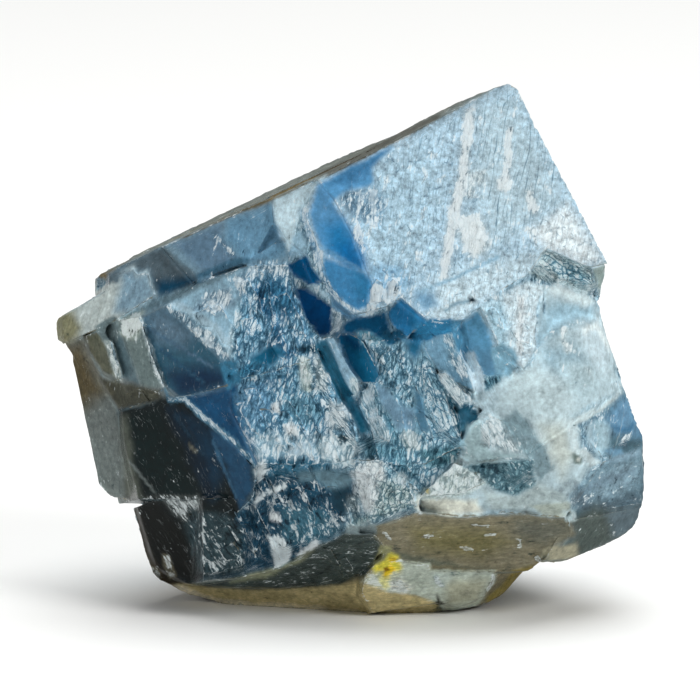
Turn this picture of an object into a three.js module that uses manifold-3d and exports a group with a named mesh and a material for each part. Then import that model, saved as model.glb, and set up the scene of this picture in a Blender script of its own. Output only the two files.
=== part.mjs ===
// Raw blue calcite: one broken cleavage piece about 80 mm wide, resting on a flat patch
// of its underside. It is built in its own directions, u along the great cleavage face
// to the right, v up it and w out of it, in millimetres, and then leant back to rest.
import * as THREE from 'three';
import { ConvexGeometry } from 'three/addons/geometries/ConvexGeometry.js';
import { mergeVertices } from 'three/addons/utils/BufferGeometryUtils.js';
import Module from 'manifold-3d';

const WIDTH = 80;                 // whole stone, left tip to right corner
const LEAN = 10.5;                // degrees that the stone leans back as it rests
const BASE = 34.9;                // flat resting patch, below the stone's middle
const GRAIN = { u: -0.25, v: -0.063 };   // drift of the third cleavage edge for each mm of depth
const ALONG = { u: 0.905, v: 0.425 };    // the cleavage edge that climbs to the right
const DOWN = { u: 0.44, v: -0.898 };     // the steep cleavage edge
const FLAKE = { length: 6, width: 1.9, lift: 0.5 };

const wasm = await Module();
wasm.setup();

// A closed geometry as a solid that can be joined and cut.
function solid(geometry) {
  geometry.deleteAttribute('normal');
  geometry.deleteAttribute('uv');
  const merged = mergeVertices(geometry, 1e-4);
  return new wasm.Manifold(new wasm.Mesh({
    numProp: 3,
    vertProperties: new Float32Array(merged.attributes.position.array),
    triVerts: new Uint32Array(merged.index.array),
  }));
}

// Height w at (u, v) on the plane through three points.
function planeThrough([a, b, c]) {
  const plane = new THREE.Plane().setFromCoplanarPoints(
    new THREE.Vector3(...a), new THREE.Vector3(...b), new THREE.Vector3(...c));
  const { x, y, z } = plane.normal;
  return (u, v) => -(plane.constant + x * u + y * v) / z;
}

// A slab between a flat face that passes through three given points and its copy `depth` into
// the stone, run along the third cleavage edge. A negative depth runs forward, for the far side.
function plate({ outline, face, depth = 12 }) {
  const shape = new THREE.Shape(outline.map(([u, v]) => new THREE.Vector2(u, v)));
  const geometry = new THREE.ExtrudeGeometry(shape, { depth: 1, bevelEnabled: false });
  const height = planeThrough(face);
  const position = geometry.attributes.position;
  for (let i = 0; i < position.count; i++) {
    const u = position.getX(i);
    const v = position.getY(i);
    const back = depth > 0 ? (1 - position.getZ(i)) * depth : position.getZ(i) * depth;
    position.setXYZ(i, u + back * GRAIN.u, v + back * GRAIN.v, height(u, v) - back);
  }
  return solid(geometry);
}

// A broken mass: the convex body around its corners, each rounded to a small radius.
function mass(corners, radius = 0.8) {
  const ball = new THREE.OctahedronGeometry(radius).attributes.position;
  const points = [];
  for (const [u, v, w] of corners) {
    for (let i = 0; i < ball.count; i++) {
      points.push(new THREE.Vector3(u + ball.getX(i), v + ball.getY(i), w + ball.getZ(i)));
    }
  }
  return solid(new ConvexGeometry(points));
}

// Breaks a piece off along the flat through three points, and keeps the side of the heart.
function breakOff(piece, points) {
  const flat = new THREE.Plane().setFromCoplanarPoints(
    ...points.map((point) => new THREE.Vector3(...point)));
  if (flat.constant < 0) flat.negate();
  const outward = flat.normal.clone().negate();
  const waste = new THREE.BoxGeometry(3 * WIDTH, 3 * WIDTH, WIDTH).translate(0, 0, WIDTH / 2)
    .applyQuaternion(new THREE.Quaternion().setFromUnitVectors(new THREE.Vector3(0, 0, 1), outward));
  const at = flat.coplanarPoint(new THREE.Vector3());
  return piece.subtract(solid(waste.translate(at.x, at.y, at.z)));
}

// Repeatable random numbers from 0 to 1.
function randomNumbers(seed) {
  let state = seed;
  return () => {
    state = (Math.imul(state, 1664525) + 1013904223) >>> 0;
    return state / 2 ** 32;
  };
}

// Whether a point lies inside an outline.
function inside(outline, u, v) {
  let within = false;
  for (let i = 0, j = outline.length - 1; i < outline.length; j = i++) {
    const [ui, vi] = outline[i];
    const [uj, vj] = outline[j];
    if (vi > v !== vj > v && u < ui + (uj - ui) * (v - vi) / (vj - vi)) within = !within;
  }
  return within;
}

// Thin cleavage flakes left standing on a plate, each a splinter along the two cleavage edges
// of the great face, longer down the steep one. One that would overhang the plate is left out.
function flakesOn({ outline, face, flakes = 0, coarse = 1, depth = 12 }, index) {
  const random = randomNumbers(index * 7919 + 17);
  const height = planeThrough(face);
  const out = Math.sign(depth);
  const us = outline.map(([u]) => u);
  const vs = outline.map(([, v]) => v);
  const pick = (list) => Math.min(...list) + random() * (Math.max(...list) - Math.min(...list));
  const made = [];
  for (let tries = 0; made.length < flakes && tries < 40 * flakes; tries++) {
    const u = pick(us);
    const v = pick(vs);
    const long = coarse * FLAKE.length * (0.4 + random());
    const wide = coarse * FLAKE.width * (0.5 + random());
    const skew = 0.3 * random();
    const splinter = [[-0.5, -0.4 - skew], [0.4, -0.5], [0.5, 0.2], [0.2, 0.5 + skew], [-0.4, 0.3]]
      .map(([across, along]) => [
        u + across * wide * ALONG.u + along * long * DOWN.u,
        v + across * wide * ALONG.v + along * long * DOWN.v,
      ]);
    if (!splinter.every(([x, y]) => inside(outline, x, y))) continue;
    const lift = FLAKE.lift * (0.3 + random());
    const tilt = FLAKE.lift * (random() - 0.5);
    const on = ([x, y], more) => [x, y, height(x, y) + out * (lift + more)];
    made.push({
      outline: splinter, depth: 3 * out,
      face: [on(splinter[0], tilt), on(splinter[2], -tilt), on(splinter[4], -tilt * random())],
    });
  }
  return made;
}

// The masses that the plates stand on.
const masses = {
  heart: [
    [-20, 0, 7], [-5, 14, 9], [18, 22, 13], [26, 5, 13], [26, -17, 9], [-15, -20, 7], [5, -25, 5],
    [-20, 0, -14], [0, 12, -14], [12, 12, -12], [20, -15, -16], [-15, -20, -18],
  ],
  shoulder: [
    [-39, 3.4, 4], [-38.4, 4.1, 5], [-33, 7, 7], [-38.2, 1.2, 3], [-36.2, -2.2, 2.5],
    [-38.2, 3, -3], [-35.5, 4.2, -7], [-30.5, 5.5, -11], [-32.5, -5.5, -9], [-25, -6, 8],
    [-26, 5.5, 9],
  ],
  leftFlank: [
    [-37.1, -1, 2], [-36.1, -4.5, 1.5], [-35.4, -8, 0.5], [-34.8, -12, -0.5], [-33.8, -16.5, -1],
    [-33.4, -18.6, -1], [-32.5, -19.4, -1.5], [-29, -19.6, 2.5], [-34.6, -2, -8],
    [-32.8, -12, -12], [-30.8, -18.2, -11], [-24, -2, -21], [-22, -17.5, -23],
    [-29.3, -5, 6], [-28.4, -17, 4], [-14, -5, 9.5], [-12, -18.5, 9.5],
  ],
  foot: [
    [-28.3, -21.8, 0.5], [-27.4, -27, -1.5], [-26.2, -30.6, -4.5], [-22, -32.8, -6],
    [-15, -34.4, -4], [-3, -34.8, -1], [3, -35.3, 1], [7.5, -35.2, 1.5], [15, -34.6, 1],
    [18.3, -34, 0], [20.7, -32.7, -2], [23.5, -29.6, -4], [-18.5, -30.5, -23.5],
    [13.5, -31, -24], [19, -30, -14], [-22, -21.5, -26], [16, -19, -27], [-26.5, -21, -16],
    [-15, -19, 9.5], [22, -19, 11], [-24, -19, 3],
  ],
  rightFlank: [
    [26.5, -27.8, -3], [29.5, -27.9, -1], [35, -25.7, 0], [37.8, -24, 1.5], [38.5, -22.3, 2],
    [39.1, -19, 3.5], [39.2, -15, 4.5], [38.2, -10.5, 6], [36, -5, 8], [34.4, -0.8, 8.5],
    [33.8, 2, 9], [32.8, 6, 10.5], [30.5, 3.5, -9], [35, -8, -7.5], [35.5, -18, -10],
    [27.5, -20, -21], [28.5, 0, -18.5], [14, 2, 15], [14, -19.5, 11.5], [10, -5, -21.5],
  ],
  rightBack: [
    [31.5, 7, 6], [31, 8, -2], [26, 9, -12], [19, 8, -18.5], [33, -4, -6], [33.5, -15, -10],
    [28, -18, -17], [20, -6, -21.5], [12, 4, -20], [20, 0, 4], [24, 10, 4],
  ],
};

// The upper block: a cleavage block under the great face, with its far corners broken off.
const upperBlock = {
  crown: {
    depth: 35, face: [[-32, 9, 9], [21, 35, 15], [34, 12, 15]],
    outline: [
      [-32.6, 8], [-32.6, 10.3], [-31.8, 11.1], [0, 25.8], [21, 35.4], [22.3, 34.8], [34.4, 11.7],
      [33.6, 6.8], [22, -6], [-20, -8], [-28, 0],
    ],
  },
  greatFace: {
    depth: 17, face: [[-4.5, 22.8, 25], [34.7, 11.5, 21.9], [11, 3.3, 25.5]],
    outline: [
      [-4.5, 22.8], [6, 28], [19, 35], [21.3, 35.9], [22.5, 35.2], [25, 30], [34.7, 11.5],
      [32, 11], [29.5, 12.2], [26.5, 13.6], [24, 10], [20.3, 8], [16.5, 5], [14.5, 3.3],
      [11, 3.3], [6.8, 7], [5, 5.8], [3, 8.5], [2, 11], [0.5, 15], [-2.3, 20.3],
    ],
  },
};
const upperBreaks = {
  leftEnd: [[-32.5, 8, 9], [-32.2, 11, 5], [-28.5, 10, -14]],
  farTop: [[0, 27.2, -12.5], [17, 34.7, 10.5], [20, 15, -15]],
  farLeft: [[-29, 8, -11], [-8, 22, -15], [-14, 0, -21]],
};

// The plates of the broken front, from the great face down.
const plates = {
  clearBevel: {
    depth: 14, face: [[0.5, 15, 24.9], [2, 11, 25], [-5, 15, 22.6]],
    outline: [
      [-4.5, 22.8], [-2.3, 20.3], [0.5, 15], [2, 11], [3, 8.5], [5, 5.8], [2.3, 5], [0.5, 4.9],
      [-1.2, 6], [-3, 9], [-5, 15], [-6.6, 18.7],
    ],
  },
  whiteWedge: {
    depth: 13, face: [[-6.6, 18.7, 21.4], [-3, 9, 22.6], [-10.2, 19, 19.7]],
    outline: [
      [-10.3, 20.4], [-4.5, 22.8], [-6.6, 18.7], [-5, 15], [-3, 9], [-4.2, 9.3], [-6.2, 13],
      [-7.9, 14.3], [-10.2, 17],
    ],
  },
  slateBand: {
    depth: 9, face: [[-32, 9, 10.5], [-10, 19, 17], [-15, 11, 16.8]],
    outline: [
      [-32.6, 8], [-32.6, 10.3], [-31.8, 11], [-25, 14.3], [-15, 18.8], [-10, 20.9],
      [-8, 14.3], [-8.3, 11.5], [-14, 6], [-20, 4], [-31, 3],
    ],
  },
  slateStep: {
    depth: 4, face: [[-25.5, 14, 13.6], [-10.2, 20.5, 18], [-13, 12, 18.2]],
    outline: [[-25.5, 14], [-15, 18.7], [-10.2, 20.7], [-10.4, 17], [-13, 12], [-21, 9]],
  },
  leftTip: {
    depth: 4, face: [[-39.5, 3, 6.8], [-27, 9, 14], [-31, 4.5, 12.6]],
    outline: [
      [-39.1, 3.9], [-38.7, 4.7], [-35, 6.8], [-31.2, 9], [-30.8, 10.3], [-29.2, 11.1],
      [-28.7, 10.2], [-27.3, 10.7], [-26, 7.4], [-31, 4.3], [-33.2, 3], [-36, 2],
      [-38, 0.9], [-38.9, 1.6],
    ],
  },
  firstColumn: {
    depth: 7, face: [[-36, 2, 7.5], [-32, 1, 11], [-31, -4, 10]],
    outline: [[-36, 2], [-33.3, 3], [-32, 1], [-30.6, -3.5], [-31, -4.2], [-33.5, -3], [-35.5, 0]],
  },
  secondColumn: {
    depth: 11, face: [[-33, 3, 9.4], [-30, -1, 11], [-29, -5, 10.6]],
    outline: [[-33.2, 3], [-31.3, 3.9], [-29.8, -0.5], [-28.3, -5], [-30, -6], [-31, -4.2]],
  },
  thirdColumn: {
    depth: 9, face: [[-31, 3.5, 12], [-28.3, 4.6, 14], [-26, -5, 13]],
    outline: [
      [-31.3, 3.9], [-28.3, 4.6], [-26.7, -0.5], [-24.9, -5], [-26, -6], [-28.3, -5], [-29.7, -1],
    ],
  },
  columnFoot: {
    depth: 3, face: [[-35, -2, 4.5], [-28.5, -5.2, 9], [-31, -8, 7]],
    outline: [[-35.5, -1.5], [-33, -3.3], [-28.5, -5.2], [-27, -7], [-31, -8.2], [-33.4, -5]],
  },
  darkBlueFace: {
    depth: 12, face: [[-28, 4, 13], [-25, 6, 15.4], [-16, -3, 19.2]],
    outline: [
      [-28.3, 4.4], [-25, 6], [-20, 1.5], [-16.4, -2.3], [-15.5, -4.5], [-20, -5.8],
      [-23, -6.5], [-24.8, -5], [-26.7, -0.5],
    ],
  },
  middleGround: {
    depth: 12, face: [[-14, 8, 17.9], [20, 4, 21.4], [4, -14, 18.4]],
    outline: [
      [-14, 12], [-10, 14.5], [-5.5, 14.4], [-2.4, 10], [2, 6], [10, 6], [18, 8], [24, 10.6],
      [26.2, 9], [26, 0],
      [24, -3], [20, -5], [16, -8], [15, -14], [4, -15.5], [-12.5, -15.5], [-14, -10],
      [-15.5, -3], [-15, 4],
    ],
  },
  frostedTriangle: {
    depth: 12, flakes: 4, face: [[-25, 6, 15.4], [-16.4, -2.3, 19.2], [-13, 10, 19]],
    outline: [[-25, 6], [-20, 9.4], [-14, 11.4], [-11.5, 10.4], [-10, 4], [-12, -3], [-16.4, -2.3]],
  },
  upperCentre: {
    depth: 12, flakes: 8, face: [[-13, 10, 19], [-6, 4, 20], [-14, -3, 19.4]],
    outline: [
      [-14, 11.4], [-10.5, 11.6], [-8.3, 11.5], [-7.6, 8.3], [-6.8, 6.5], [-5.5, 3.5],
      [-3.8, 1.7], [-4.2, -1], [-10, -3], [-15, -4], [-16, 0],
    ],
  },
  paleColumn: {
    depth: 12, face: [[-4, 1.5, 20.5], [-0.2, -2, 22], [0.5, -6.7, 21]],
    outline: [
      [-4.2, 1.5], [-2.3, 2.1], [-0.2, -2], [1.2, -4], [1.3, -5.5], [0.5, -6.7], [-1, -4.5],
      [-2.5, -2],
    ],
  },
  deepBlueSlab: {
    depth: 12, face: [[-2, 2.3, 18.5], [1.7, 1.5, 21], [1.5, -4.5, 20]],
    outline: [
      [-2, 2.3], [0, 2.3], [1.7, 1.5], [3.5, -1.8], [4, -3.5], [3.5, -4.6], [1.5, -4.6],
      [0, -2.5], [-1, 0],
    ],
  },
  leftCentre: {
    depth: 12, flakes: 16, face: [[-15, -4, 17.5], [-3, -3, 20], [-8, -14, 19.5]],
    outline: [
      [-16, -2], [-10, -2.5], [-4.2, 0], [-2.5, -2.5], [0, -8], [1.5, -11.5], [0, -15],
      [-6, -15.5], [-12.5, -15.5], [-14, -12], [-16, -8],
    ],
  },
  rightCentre: {
    depth: 12, flakes: 14, face: [[3, 0, 20.5], [12, -5, 21.5], [6, -13, 20]],
    outline: [
      [1.7, 1.5], [5.5, 1.3], [8, 1.5], [9.5, 2.2], [10, 0], [11.8, -3], [13, -6], [15, -9],
      [15, -13], [10, -15.5], [4, -15.5], [2.7, -11], [1, -7.5], [1.3, -5.5], [3.9, -3.5],
    ],
  },
  tealStep: {
    depth: 10, face: [[0.5, 4.5, 17], [4.8, 5, 19], [3, 1, 20]],
    outline: [[-1, 5], [2, 6.6], [4.8, 6.8], [5.6, 3], [5.5, 1], [1.5, 1.2], [-2, 2.2]],
  },
  blueStep: {
    depth: 12, face: [[5, 5, 21.5], [10, 4, 24], [7, 1.6, 22.5]],
    outline: [
      [5, 6], [6.8, 8.2], [10.4, 5.6], [10.8, 3.2], [8.5, 2.5], [8, 1.5], [6.7, 1.6], [5.5, 3.5],
    ],
  },
  firstKnob: {
    depth: 6, face: [[3, 6.5, 26.2], [4.5, 6.5, 26.6], [4, 9.5, 26.6]],
    outline: [[2.9, 6.4], [4.2, 6.3], [4.6, 9], [3.6, 9.6], [2.8, 8.4]],
  },
  secondKnob: {
    depth: 6, face: [[5, 7, 26], [6.7, 7, 26.3], [6, 9.5, 26.2]],
    outline: [[5, 6.8], [6.6, 7.4], [6.7, 9], [5.8, 9.6], [5, 8.6]],
  },
  firstLedge: {
    depth: 12, face: [[10, 1, 22], [15, 2, 23.5], [16, -5, 22.5]],
    outline: [
      [9.5, 2.2], [14.3, 4.6], [15.2, 0], [17.5, -4.5], [17.5, -6], [14, -4.5], [11.8, -2.9],
      [10, 0],
    ],
  },
  blueLedge: {
    depth: 12, face: [[15, 3, 21.5], [20, 0, 23.5], [18, -3.5, 22.3]],
    outline: [
      [14.3, 4.4], [17.3, 6.8], [19, 2.5], [20, -0.5], [20.8, -3.3], [18, -3.6], [17, -2.2],
      [15.2, 0],
    ],
  },
  whiteLedge: {
    depth: 12, flakes: 3, face: [[19, 4, 24.4], [25.5, 7, 22.6], [23.5, -2, 24]],
    outline: [
      [17.3, 6.2], [18.5, 7.4], [24, 11], [26.3, 9.4], [25.3, 6], [25, 0], [24.3, -1.5],
      [23.5, -2.7], [22, -1.5], [20.2, -0.6], [19, 2.5],
    ],
  },
  roughFacet: {
    depth: 12, flakes: 4, face: [[26.4, 13.4, 21.9], [24.4, 10, 21.8], [32.6, 8.6, 18.4]],
    outline: [
      [23.8, 9.6], [24, 10.8], [26.4, 14], [30, 12.6], [32.6, 11.4], [33.5, 8.5], [32, 7], [28, 8.4],
      [25.4, 8.8],
    ],
  },
  greyFacet: {
    depth: 8, face: [[32.8, 10.8, 19.6], [34.4, 11.2, 17.6], [33.4, 7, 15]],
    outline: [[32.2, 11.4], [34.5, 11.4], [34.4, 10.4], [33.9, 8.3], [33.5, 6.7], [32.6, 8.6]],
  },
  darkStep: {
    depth: 12, face: [[18, -4, 22], [24, -2.6, 22.6], [20, -6, 21.4]],
    outline: [[17.2, -7.2], [17.4, -3.2], [21, -1.6], [24.8, -1.4], [25, -4.6], [20.8, -6.4]],
  },
  paleSlab: {
    depth: 12, face: [[12, -3, 23.3], [15.5, -5.5, 23.8], [15.3, -8.4, 23]],
    outline: [
      [11.8, -3], [13, -3], [15.5, -5.5], [17, -7], [16.5, -8.6], [15.3, -8.4], [13.5, -6.5],
      [12, -4],
    ],
  },
  lowerCentre: {
    depth: 12, flakes: 16, face: [[-12, -16, 17], [3, -16, 19.5], [-7, -28, 12.5]],
    outline: [
      [-13, -14.5], [0, -14.5], [6, -15], [5, -18], [4, -22], [2.5, -24.2], [0, -24.7],
      [-5, -27], [-9, -29.6], [-15, -31], [-20, -31.5], [-20, -20], [-14, -20],
    ],
  },
  centreFoot: {
    depth: 12, flakes: 4, face: [[5, -15, 19], [14, -14, 19.5], [8, -19, 18]],
    outline: [[3, -14], [17, -12.2], [19.5, -14], [18, -17.2], [13, -17.4], [9.2, -20], [5, -20]],
  },
  snowyPatch: {
    depth: 12, flakes: 4, face: [[0.5, -16, 20.5], [9, -20, 18.6], [2.5, -24, 16]],
    outline: [[0.3, -15], [4, -14.5], [9.5, -19], [9.5, -22], [2.5, -24.2], [1.2, -20]],
  },
  seamFace: {
    depth: 12, face: [[-22.5, -6.3, 13.5], [-12.5, -16.3, 17.5], [-15.5, -5, 17.3]],
    outline: [
      [-24.5, -5.5], [-20, -5.5], [-15.5, -4], [-13.5, -10], [-12.3, -16.3], [-18, -10.4],
      [-22.5, -6.4],
    ],
  },
  glassyFace: {
    depth: 12, face: [[-31, -9, 6.8], [-14, -15.5, 16.4], [-24, -19, 9.6]],
    outline: [
      [-31, -8], [-30.6, -5.2], [-26, -4.2], [-22.5, -6.2], [-18, -10.4], [-12.5, -16.3],
      [-13, -20],
      [-15, -22], [-20, -20.3], [-28.7, -20.3], [-30.6, -13],
    ],
  },
  lowerGlassyFace: {
    depth: 3, flakes: 2, face: [[-28.7, -21.5, 3.5], [-15, -22, 13], [-22, -31, 2.5]],
    outline: [
      [-29, -21.2], [-25.5, -20], [-18, -19.8], [-13, -22], [-14, -31], [-20, -32], [-22, -31.9],
      [-26.4, -29.6], [-27.9, -25],
    ],
  },
  speckledSlope: {
    depth: 10, flakes: 2, face: [[-18, -31.6, 2.8], [-3, -26, 14], [2, -30, 7]],
    outline: [
      [-20, -31.5], [-9, -29.4], [-5, -26.8], [-1, -24.8], [3, -24.2], [5, -26.8], [2, -30.2],
      [-2, -31.6], [-10, -32.5], [-18, -32.3],
    ],
  },
  oliveSlope: {
    depth: 10, face: [[5, -24, 15.5], [28, -23, 14.8], [15, -29, 9]],
    outline: [
      [2.5, -24.3], [5, -23], [9, -21.6], [15, -22.3], [20, -21.8], [29.7, -22.4], [30, -25],
      [26, -28.6], [24.3, -30], [20, -30.2], [10.7, -30], [6.5, -28.8], [4.8, -27],
    ],
  },
  baseBlock: {
    depth: 10, face: [[8, -29, 9.8], [19, -30.5, 7.4], [10, -35, 4]],
    outline: [
      [4.9, -27.2], [6.8, -28.5], [10.7, -29.1], [10.8, -29.9], [19.8, -30], [19.5, -31.5],
      [18, -33.9], [15, -35], [12, -34.4], [3, -35.8], [1.5, -33], [2, -30.3],
    ],
  },
  recess: {
    depth: 8, face: [[31, -11, 17.8], [36, -8, 12.6], [34, -14, 14]],
    outline: [
      [30, -9], [33, -6.4], [36, -4.2], [37.2, -8], [36.4, -12], [35.2, -15], [33.4, -15.4], [31, -14],
    ],
  },
  cornerFace: {
    depth: 5, face: [[34.5, -9, 13], [39.7, -15, 6.2], [30.4, -21, 13.6]],
    outline: [
      [35, -6], [36.7, -4.6], [39.8, -12], [40, -19.5], [39.6, -21.4], [30, -23], [29.6, -21],
      [30.2, -19.6], [32, -17], [34.5, -15],
    ],
  },
  cornerFoot: {
    depth: 5, face: [[30, -23, 12.4], [39.2, -22, 4.4], [29.5, -28.2, 8]],
    outline: [
      [29.4, -22.4], [34, -21.6], [39.8, -20.6], [38.8, -23.9], [37, -25.4], [29.5, -28.6],
      [26, -28.5], [27.6, -26],
    ],
  },
  lip: {
    depth: 10, flakes: 2, face: [[16, -9.5, 22], [24, -15, 21], [16, -15, 21.5]],
    outline: [
      [15, -12.5], [16, -9.5], [17, -8], [20.5, -9.5], [24.5, -15], [20, -14.8], [17, -15.3],
      [15.2, -14],
    ],
  },
  snowyLip: {
    depth: 10, face: [[9, -20, 18.8], [14, -15, 21], [18.5, -17.8, 19.6]],
    outline: [[9, -20], [12.5, -16.5], [14, -15], [16, -15.8], [18.5, -17.8], [15, -19.4]],
  },
};

// The frosted lumps at the right.
const lumps = {
  brow: [
    [26.2, 8.6, 21], [28, 9, 20], [31.8, 7.6, 17.6], [33, 6, 14], [33.6, 3.6, 13.2],
    [29.6, 3, 19.2], [26, 1.6, 21.4], [23.4, 2, 12], [23.4, 9, 12], [30, 4, 8],
  ],
  upperLump: [
    [27, 2.8, 21.4], [30.6, 4, 19.4], [33.2, 3.8, 14.6], [34.8, 0, 12], [34.4, -1.2, 12.4],
    [25, 0, 22], [24, -2, 22.2], [21.4, -4, 21.6], [18.8, -6, 20.8], [18, -8, 20.2],
    [23.5, -13.4, 20.6], [29, -9.5, 19.8], [32.6, -7.5, 17], [35.6, -5, 12],
    [20, 0, 8], [30, 0, 5], [25, -12, 5], [24, 2.6, 12],
  ],
  lowerLump: [
    [29.6, -10.5, 18.8], [30.5, -13, 18.4], [33.7, -14.6, 14], [31.5, -17.5, 15.2],
    [29.4, -20, 16.2], [28.9, -22, 14.4], [20, -21.4, 15.2], [15, -21.8, 15.2], [9.8, -21.4, 14.8],
    [10.6, -15, 7], [10.8, -19, 8], [14, -11.6, 9], [20, -12.6, 8],
    [9.8, -20, 16.2], [12.5, -17.3, 17.8], [17, -16, 18.6], [23.5, -14.3, 19.8], [20, -18, 6],
    [28, -16, 5],
  ],
};

// The far side: wide cleavage steps that climb to the lower left.
const farPlates = {
  upperFace: {
    depth: -12, flakes: 3, coarse: 2, face: [[-20, 0, -22.5], [8, 18, -21], [5, -8, -24.5]],
    outline: [[-30, -2], [-27.5, 4.5], [1, 18], [9, 2], [15, -14], [-20, -22]],
  },
  upperStep: {
    depth: -10, flakes: 4, coarse: 2, face: [[-18, 2, -25.2], [0, 10, -24], [-8, -8, -27]],
    outline: [[-29, -7], [-26, 0.5], [-8, 9], [-3, -2], [3.5, -15], [-20, -24]],
  },
  middleSlab: {
    depth: -12, flakes: 7, coarse: 2, face: [[4, -8, -26], [24, -4, -23], [10, -20, -28]],
    outline: [[0, -9], [21, 1], [27, -11], [29, -18], [8, -29], [-4, -20]],
  },
  lowerSlab: {
    depth: -12, flakes: 7, coarse: 2, face: [[-18, -12, -26.5], [-2, -12, -28], [-10, -24, -29.5]],
    outline: [[-27, -15], [-7, -5.5], [1, -14], [7, -27], [-13, -31], [-25, -25]],
  },
};

// Flats that break off the far corners of the whole stone.
const farBreaks = {
  lowerLeft: [[-34, -10, -8], [-20, -8, -27], [-24, -30, -12]],
  lowerRight: [[37, -16, -9], [24, -14, -24], [22, -32, -12]],
  upperLeft: [[-38, 2, -6], [-27, 4, -20], [-30, -14, -14]],
};

const chipped = { ...plates, ...farPlates };
const upper = Object.values(upperBlock).map(plate).reduce((sum, part) => sum.add(part));
const parts = [
  Object.values(upperBreaks).reduce(breakOff, upper),
  ...Object.values(masses).map((corners) => mass(corners)),
  ...Object.values(lumps).map((corners) => mass(corners)),
  ...Object.values(chipped).map(plate),
  ...Object.values(chipped).flatMap(flakesOn).map(plate),
];
const joined = parts.reduce((sum, part) => sum.add(part));
const stone = Object.values(farBreaks).reduce(breakOff, joined);

// The mesh of a solid as a three.js geometry.
function geometryOf(manifold) {
  const mesh = manifold.getMesh();
  const geometry = new THREE.BufferGeometry();
  geometry.setAttribute('position', new THREE.BufferAttribute(mesh.vertProperties, 3));
  geometry.setIndex(new THREE.BufferAttribute(mesh.triVerts, 1));
  return geometry;
}

// Everything below the resting plane, cut away flat.
function restFlat(manifold) {
  const rested = geometryOf(manifold).rotateX(Math.PI / 2 - THREE.MathUtils.degToRad(LEAN));
  const ground = new THREE.BoxGeometry(3 * WIDTH, 3 * WIDTH, WIDTH).translate(0, 0, -BASE - WIDTH / 2);
  return solid(rested).subtract(solid(ground));
}

const geometry = geometryOf(restFlat(stone));
geometry.computeBoundingBox();
const box = geometry.boundingBox;
geometry.translate(-(box.min.x + box.max.x) / 2, -(box.min.y + box.max.y) / 2, -box.min.z);
geometry.computeVertexNormals();

const calcite = new THREE.Mesh(geometry, new THREE.MeshStandardMaterial({
  color: 0x8fb0c8, roughness: 0.45, metalness: 0,
}));
calcite.name = 'calcite';

const model = new THREE.Group();
model.add(calcite);
export default model;
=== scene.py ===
"""Raw blue calcite: one broken cleavage piece, resting on a pale table."""
import math

import bpy
import numpy as np
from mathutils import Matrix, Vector


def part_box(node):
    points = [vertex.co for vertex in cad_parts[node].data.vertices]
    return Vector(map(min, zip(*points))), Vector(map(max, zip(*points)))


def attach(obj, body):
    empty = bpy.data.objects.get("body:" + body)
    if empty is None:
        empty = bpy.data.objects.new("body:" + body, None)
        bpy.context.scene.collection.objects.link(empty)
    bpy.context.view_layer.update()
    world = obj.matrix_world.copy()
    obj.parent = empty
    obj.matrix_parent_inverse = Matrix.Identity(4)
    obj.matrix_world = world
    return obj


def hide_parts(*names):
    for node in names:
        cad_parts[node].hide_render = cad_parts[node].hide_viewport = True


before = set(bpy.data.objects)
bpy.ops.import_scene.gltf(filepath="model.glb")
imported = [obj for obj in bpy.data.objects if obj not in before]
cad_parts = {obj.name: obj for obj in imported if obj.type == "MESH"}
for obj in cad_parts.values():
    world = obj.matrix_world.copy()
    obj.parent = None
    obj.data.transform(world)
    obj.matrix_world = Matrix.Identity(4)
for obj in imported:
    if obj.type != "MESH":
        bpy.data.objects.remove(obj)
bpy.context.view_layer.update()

# --- Camera -----------------------------------------------------------------------------
# A long lens 1.5 m in front of the stone, raised 10.5 degrees, so that it looks square on
# to the great cleavage face, which leans back by the same angle.
LEAN = math.radians(10.5)
AIM_HEIGHT = 0.472                      # as a share of the stone's height
CAMERA_DISTANCE = 1.5                   # to the aim
FRONT_NEARER = 0.012                    # how much nearer the stone's front is than the aim
SEEN_WIDTH = 0.0945                     # at the front of the stone
stone_low, stone_high = (np.array(corner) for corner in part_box("calcite"))
MIDDLE = np.array([0.0, -0.00076, AIM_HEIGHT * (stone_high[2] - stone_low[2])])
TOWARDS_VIEWER = np.array([0.0, -math.cos(LEAN), math.sin(LEAN)])

camera = bpy.data.objects.new("camera", bpy.data.cameras.new("camera"))
camera.data.sensor_width = 36
camera.data.lens = camera.data.sensor_width * (CAMERA_DISTANCE - FRONT_NEARER) / SEEN_WIDTH
camera.data.clip_end = 20
camera.location = MIDDLE + CAMERA_DISTANCE * TOWARDS_VIEWER
camera.rotation_euler = (math.pi / 2 - LEAN, 0, 0)
bpy.context.scene.collection.objects.link(camera)
bpy.context.scene.camera = camera
bpy.context.scene.view_settings.view_transform = "Standard"

# --- Table and studio light -------------------------------------------------------------
# A plain white table under a wide soft ceiling lamp, with a smaller soft lamp high at the
# right of the camera and a faint one at the left. None stands where the clear front faces
# would mirror it, so they stay dark and deep.
TABLE_COLOUR = "#FAFAF8"
TABLE_HALF = 3.0
ROOM_COLOUR = (0.96, 0.98, 1.0, 1)
ROOM_LIGHT = 0.16
LAMPS = {                               # place in metres, width in metres, power in watts
    "ceiling lamp": ((0.10, 0.15, 1.25), 1.3, 17.0),
    "right lamp": ((0.70, -0.62, 0.62), 0.40, 6.0),
    "left lamp": ((-0.95, -0.35, 0.45), 0.40, 2.0),
}


def linear(colour):
    """Red, green and blue of an sRGB hex colour, made linear: (c + 0.055) / 1.055 to the 2.4."""
    shares = np.array([int(colour[i:i + 2], 16) for i in (1, 3, 5)]) / 255
    return np.where(shares > 0.04045, ((shares + 0.055) / 1.055) ** 2.4, shares / 12.92)


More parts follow.
